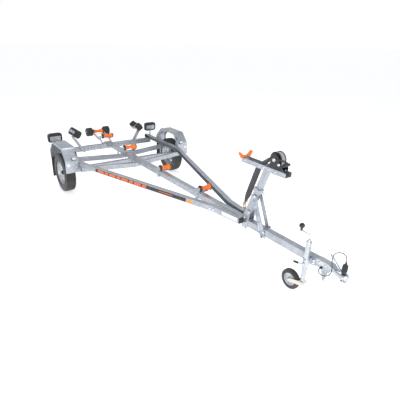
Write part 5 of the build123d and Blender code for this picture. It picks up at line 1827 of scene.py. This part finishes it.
@dataclass
class Jockey(SubAssembly):
    """Jockey wheel: crank, tube fittings, clamp, tyre and wheel."""

    x: float = -80.0
    y: float = -3878.0
    top: float = 684.0
    tube_radius: float = 24.0
    wheel_radius: float = 100.0
    half_tyre: float = 25.0
    seat: float = 62.0
    holes: int = 8

    def build(self) -> None:
        """Builds the jockey wheel's pieces and dresses its fork."""
        crank = eased([(self.x, self.y, self.top + 6), (self.x, self.y, self.top + 62),
                       (self.x, self.y + 100, self.top + 66), (self.x, self.y + 100, self.top + 92)], 22)
        DRESSER.add("crank_rod", tube(divided(crank, 5), 5.5, up=(1, 0, 0)), ZINC, "frame", sharp=50,
                    replaces=("jockey_crank",))
        knob = [(0, 0), (0, 11), (20, 11), (28, 14), (34, 21), (42, 25), (54, 25), (64, 19), (70, 11),
                (72, 0)]
        DRESSER.add("crank_knob", lathe(knob, 32).placed((self.x, self.y + 100, self.top + 64), (0, 0, 1)),
                    PLASTIC,
                    "frame", sharp=60)
        DRESSER.add("jockey_tube_fittings", self.tube_fittings(), ZINC, "frame", sharp=40)
        DRESSER.add("clamp_fittings", self.clamp_fittings(), ZINC, "frame")
        DRESSER.add("clamp_grip", self.grip(), PLASTIC, "frame", sharp=50)
        place = CHASSIS.place_of("jockey_wheel_spin")
        DRESSER.add("jockey_tyre_rubber", self.tyre().moved(*place), TYRE, "jockey_wheel",
                    replaces=("jockey_tyre",))
        DRESSER.add("jockey_wheel_pressing", self.rim().moved(*place), WHEEL_SILVER, "jockey_wheel",
                    sharp=35,
                    replaces=("jockey_rim",))
        reach = self.half_tyre + 9
        nut = bolt(14).moved(reach)
        DRESSER.add("jockey_axle_nuts", paired(nut).moved(*place), ZINC, "jockey_fork")
        DRESSER.dress("jockey_fork", CREAM)

    def tube_fittings(self) -> Surface:
        """Cap and swaged rings of the outer tube.

        Returns:
            The cap and rings.
        """
        r = self.tube_radius
        cap = lathe([(-14, r), (-14, r + 2.5), (0, r + 2.5), (3, r), (6, 16), (16, 14), (20, 9), (20, 0)],
                    36)
        ring = lathe([(-5, r), (-4, r + 2), (4, r + 2), (5, r)], 36, closed=True)
        up = (0, 0, 1)
        places = [(self.top, cap), (self.top - 60, ring), (412, ring)]
        return join([piece.placed((self.x, self.y, z), up) for z, piece in places])

    def clamp_fittings(self) -> Surface:
        """Bolts of the clamp's plate, and its split lugs with their screw.

        Returns:
            The bolts and lugs.
        """
        heads = [bolt(11).placed((-41, self.y + side * 44, z), (-1, 0, 0)) for side in (-1, 1)
                 for z in (472, 496)]
        lug = slab((self.x - 38, self.x - 26), (self.y - 12, self.y - 4), (452, 508))
        screw = bolt(12).placed((self.x - 46, self.y, 469), (-1, 0, 0))
        return join([*heads, lug, screw])

    def grip(self) -> Surface:
        """Plastic sleeve on the clamp's lever.

        Returns:
            The sleeve.
        """
        profile = [(0, 6.5), (0, 9), (5, 10.5), (44, 9.5), (50, 7), (51, 0)]
        start = (self.x - 52, self.y + 40, 462.5)
        return lathe(profile, 20).placed(start, (-0.1, 0.98, -0.12))

    def tyre(self) -> Surface:
        """Solid tyre: a rounded section with two tread grooves, turned about its axle.

        Returns:
            The tyre.
        """
        h, r = self.half_tyre, self.wheel_radius
        side = [(h - 5, self.seat), (h, self.seat + 8), (h, r - 20), (h - 1.5, r - 12), (h - 5, r - 5),
                (h - 11, r - 1)]
        crown = [(12, r), (9, r), (7.5, r - 3), (5.5, r - 3), (4, r), (-4, r), (-5.5, r - 3), (-7.5, r - 3),
                 (-9, r), (-12, r)]
        return lathe([*side, *crown, *[(-x, radius) for x, radius in reversed(side)]], 64, closed=True)

    def rim(self) -> Surface:
        """Pressed centre: hub tube, ribbed web that waves with the angle, and the tyre's seat.

        Returns:
            The rim.
        """
        angle = np.linspace(0, 2 * np.pi, 12 * self.holes, endpoint=False)[:, None]
        radii = np.array((9, 9, 18, 20, 24, 34, 44, 52, 56, 62, 62, 56, 52, 44, 34, 24, 20, 18.0))
        face = np.array((-25, 25, 25, 20, 9, 8, 8, 9, 20, 21, -21, -20, -9, -8, -8, -9, -20, -25.0))
        wave = np.where((radii > 30) & (radii < 50), 1.0, 0.0) * np.sign(face)
        x = face + 2.2 * wave * np.cos(self.holes * angle)
        return turned(x, np.broadcast_to(radii, x.shape), angle)


@dataclass
class Coupling(SubAssembly):
    """Pressed ball coupling, its handle, and the parking stud of the plug."""

    ball_y: float = -4215.0
    ball_z: float = 472.0
    ball_radius: float = 25.0
    front: float = -4085.0
    sections: tuple[tuple[float, float, float, float, float], ...] = (
        (-3952, 40.0, 486.0, 535.0, 0.24), (-4080, 40.0, 486.0, 535.0, 0.24),
        (-4100, 38.0, 482.0, 533.0, 0.32),
        (-4125, 34.0, 474.0, 524.0, 0.45), (-4150, 33.0, 462.0, 514.0, 0.55),
        (-4172, 35.0, 450.0, 514.0, 0.75),
        (-4190, 39.5, 446.0, 517.0, 0.9), (-4215, 42.5, 446.0, 519.0, 1.0),
        (-4236, 37.0, 446.0, 517.0, 1.0),
        (-4249, 25.0, 448.0, 510.0, 1.0), (-4256, 9.0, 455.0, 498.0, 1.0),
    )

    def build(self) -> None:
        """Builds the head, its handle and its fittings."""
        DRESSER.add("coupling_pressing", self.head(), ZINC, "frame", sharp=50, replaces=("coupling_head",))
        # Painted shade: a near-black skin inside the ball's socket.
        DRESSER.add("coupling_socket_lining", self.socket(), SHADOW, "frame", sharp=50)
        DRESSER.add("coupling_lever", self.lever(), ZINC, "frame", bevel=2.0, replaces=("coupling_handle",))
        DRESSER.add("coupling_bolts", self.bolts(), ZINC, "frame")
        DRESSER.add("plug_stud", self.stud(), PLASTIC, "frame", sharp=40)

    def head(self) -> Surface:
        """Head: superellipse sections, each with its own width, low and high edge, and squareness.

        Returns:
            The head.
        """
        table = np.array(self.sections)
        at = np.concatenate((np.linspace(0, 1, 4, endpoint=False), np.linspace(1, len(table) - 1, 61)))
        y, half, low, high, power = (np.interp(at, np.arange(len(table)), column)[:, None]
                                     for column in table.T)
        angle = np.linspace(0, 2 * np.pi, 48, endpoint=False)[None]
        cos, sin = np.cos(angle), np.sin(angle)
        x = half * np.sign(cos) * np.abs(cos) ** power
        z = (low + high) / 2 + (high - low) / 2 * np.sign(sin) * np.abs(sin) ** power
        rows = np.stack((x, np.broadcast_to(y, x.shape), z), -1)
        poles = rows[[0, -1]].mean(axis=1, keepdims=True) + 0 * rows[:1]
        return grid(np.concatenate((poles[:1], rows, poles[1:])), wrap_columns=True)

    def socket(self) -> Surface:
        """Painted shade lining the ball's socket, open below, where the socket's inside lies in shade.

        Returns:
            The painted shade.
        """
        turn = np.linspace(0, np.pi / 2, 8)
        dome = [(8 + 24 * math.sin(t), 24 * math.cos(t)) for t in turn]
        socket_shade_skin = lathe([(-27.5, 29), (-27.5, self.ball_radius), (-20, 24), *dome[:-1], (32, 0)], 32)
        return socket_shade_skin.placed((0, self.ball_y, self.ball_z), (0, 0, 1))

    def lever(self) -> Surface:
        """Lifting handle: a flat bar with turned-down edges carried up its side line.

        Returns:
            The handle.
        """
        line = eased([(0, self.ball_y + 14, 512), (0, self.ball_y + 46, 530), (0, self.ball_y + 158, 624)],
                     26)
        arc = np.linspace(-1, 1, 9)
        skin = np.concatenate((np.stack((16 * arc, 5 - 7 * np.abs(arc) ** 3), -1),
                               np.stack((14 * arc[::-1], 1 - 6 * np.abs(arc[::-1]) ** 3), -1)))
        return sweep(skin, divided(line, 6), up=(0, -0.6, 0.8))

    def bolts(self) -> Surface:
        """Two bolts through the shank and the spine, and the wear gauge's pin.

        Returns:
            The bolts and pin.
        """
        parts = [bolt(12).placed((side * 40, y, 508), (side, 0, 0)) for side in (-1, 1)
                 for y in (-3985, -4045)]
        parts.append(bolt(9).placed((0, -4172, 512), (0, 0, 1)))
        return join(parts)

    def stud(self) -> Surface:
        """Turned parking stud that the plug stands on."""
        profile = [(0, 0), (0, 20), (5, 20), (8, 14), (28, 14), (28, 0)]
        return lathe(profile, 28).placed((-21, -4216, 516), (0, 0, 1))


@dataclass
class Wiring(SubAssembly):
    """Lighting cable with its plug, and the breakaway wire."""

    cable: tuple[Vec, ...] = (
        (-35, -4010, 472), (-66, -4010, 472), (-94, -4022, 466), (-108, -4052, 458), (-107, -4088, 458),
        (-99, -4120, 472), (-91, -4140, 502), (-84, -4142, 538), (-76, -4130, 574), (-67, -4116, 608),
        (-58, -4110, 642), (-49, -4118, 674), (-40, -4142, 696), (-30, -4175, 702), (-23, -4204, 688),
        (-21, -4216, 662), (-21, -4216, 636))
    wire: tuple[Vec, ...] = (
        (-32, -4100, 486), (-54, -4100, 486), (-72, -4112, 474), (-80, -4136, 458), (-80, -4164, 446),
        (-72, -4192, 442), (-56, -4216, 448), (-38, -4233, 462))

    def build(self) -> None:
        """Builds both cords, the plug and the glands."""
        end = self.cable[-1]
        profile = [(0, 0), (0, 22), (3, 24), (12, 24), (14, 21), (18, 21), (20, 24), (28, 24), (30, 20),
                   (34, 20), (36, 24)]
        profile += [(44, 24), (46, 19), (50, 19), (52, 23), (58, 23), (62, 19), (66, 14), (66, 0)]
        plug = DRESSER.add("plug_body", lathe(profile, 36).placed((end[0], end[1], end[2] - 92), (0, 0, 1)),
                           PLASTIC,
                           "frame", sharp=40, replaces=("trailer_plug",))
        relief = [(0, 0), (0, 12), (6, 11), (8, 9), (10, 9.6), (13, 8), (15, 8.6), (18, 6.8), (20, 7.2),
                  (26, 4.4), (26, 0)]
        gland = DRESSER.add("plug_strain_relief",
                            lathe(relief, 24).placed((end[0], end[1], end[2] - 26), (0, 0, 1)),
                            RUBBER, "frame", sharp=50)
        start = self.cable[0]
        boss = lathe([(0, 0), (0, 12), (4, 12), (7, 8), (24, 5.2), (24, 0)], 24)
        DRESSER.add("cable_gland", boss.placed(start, (-1, 0, 0)), RUBBER, "frame", sharp=50)
        eye = lathe([(0, 0), (0, 7), (12, 6), (12, 0)], 16)
        DRESSER.add("wire_ferrules", join((eye.placed(self.wire[0], (-1, 0, 0)),
                                           eye.placed(self.wire[-1], (-0.7, 0.6, -0.5)))), ZINC, "frame")
        self.add_cord("light_cable_run", self.cable, 7.0, PLASTIC, "light_cable", 0.535, "plug",
                      [plug, gland])
        self.add_cord("safety_wire_run", self.wire, 4.0, ZINC, "safety_wire", 0.192, "object", [])

    @staticmethod
    def add_cord(name: str, route: Sequence[Vec], diameter: float, finish: Finish, node: str, length: float,
                 far_end: str, pieces: list[bpy.types.Object]) -> None:
        """Adds a cord as one smooth spline over its route.

        Args:
            name: the piece's name.
            route: its control points, in chassis millimetres.
            diameter: in millimetres.
            finish: what it is finished in.
            node: the CAD node it stands for.
            length: its real length in metres; not used.
            far_end: what is on its far end; not used.
            pieces: the separate pieces on it; not used.
        """
        points = CHASSIS.to_row(np.array(route, float))
        data = bpy.data.curves.new(name, "CURVE")
        data.dimensions = "3D"
        data.bevel_depth = diameter / 2 * MM
        data.bevel_resolution = 5
        data.use_fill_caps = True
        spline = data.splines.new("NURBS")
        spline.points.add(len(points) - 1)
        spline.points.foreach_set("co", np.insert(points, 3, 1.0, axis=1).astype(np.float32).ravel())
        spline.order_u = 3
        spline.use_endpoint_u = True
        spline.resolution_u = 12
        data.materials.append(DRESSER.material(finish))
        piece = bpy.data.objects.new(name, data)
        bpy.context.scene.collection.objects.link(piece)
        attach(piece, "frame")
        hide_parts(node)
        LOG.info("%s: cord of %d points", name, len(points))


SUB_ASSEMBLIES = (Wiring, RoadWheels, Fenders, Lamps, Rollers, SideBands, ChassisFittings, WinchPost, Winch,
                  Jockey, Coupling)


# ---- the whole scene ---------------------------------------------------------------------------
NODE_FINISHES: dict[str, Finish | Lens] = {
    "galvanised_steel": GALVANISED,
    "bright_zinc": ZINC,
    "tyre_rubber": TYRE,
    "wheel_silver": WHEEL_SILVER,
    "orange_polyurethane": ORANGE,
    "black_rubber": RUBBER,
    "black_plastic": PLASTIC,
    "black_paint": BLACK_PAINT,
    "lamp_housing": HOUSING,
    "webbing": WEBBING,
    "yellow_zinc": YELLOW_ZINC,
}


def dress_nodes() -> None:
    """Gives every CAD node the finish of its material slot in the record."""
    for part in frame["record"]["subparts"]:
        DRESSER.dress(part["node"], NODE_FINISHES[part["material_slot"]])


def main() -> None:
    """Builds the stage and the trailer."""
    logging.basicConfig(level=logging.INFO, format="%(message)s")
    Stage().build()
    dress_nodes()
    for group in SUB_ASSEMBLIES:
        group().build()
        LOG.info("built %s", group.__name__)


if __name__ == "__main__":
    main()
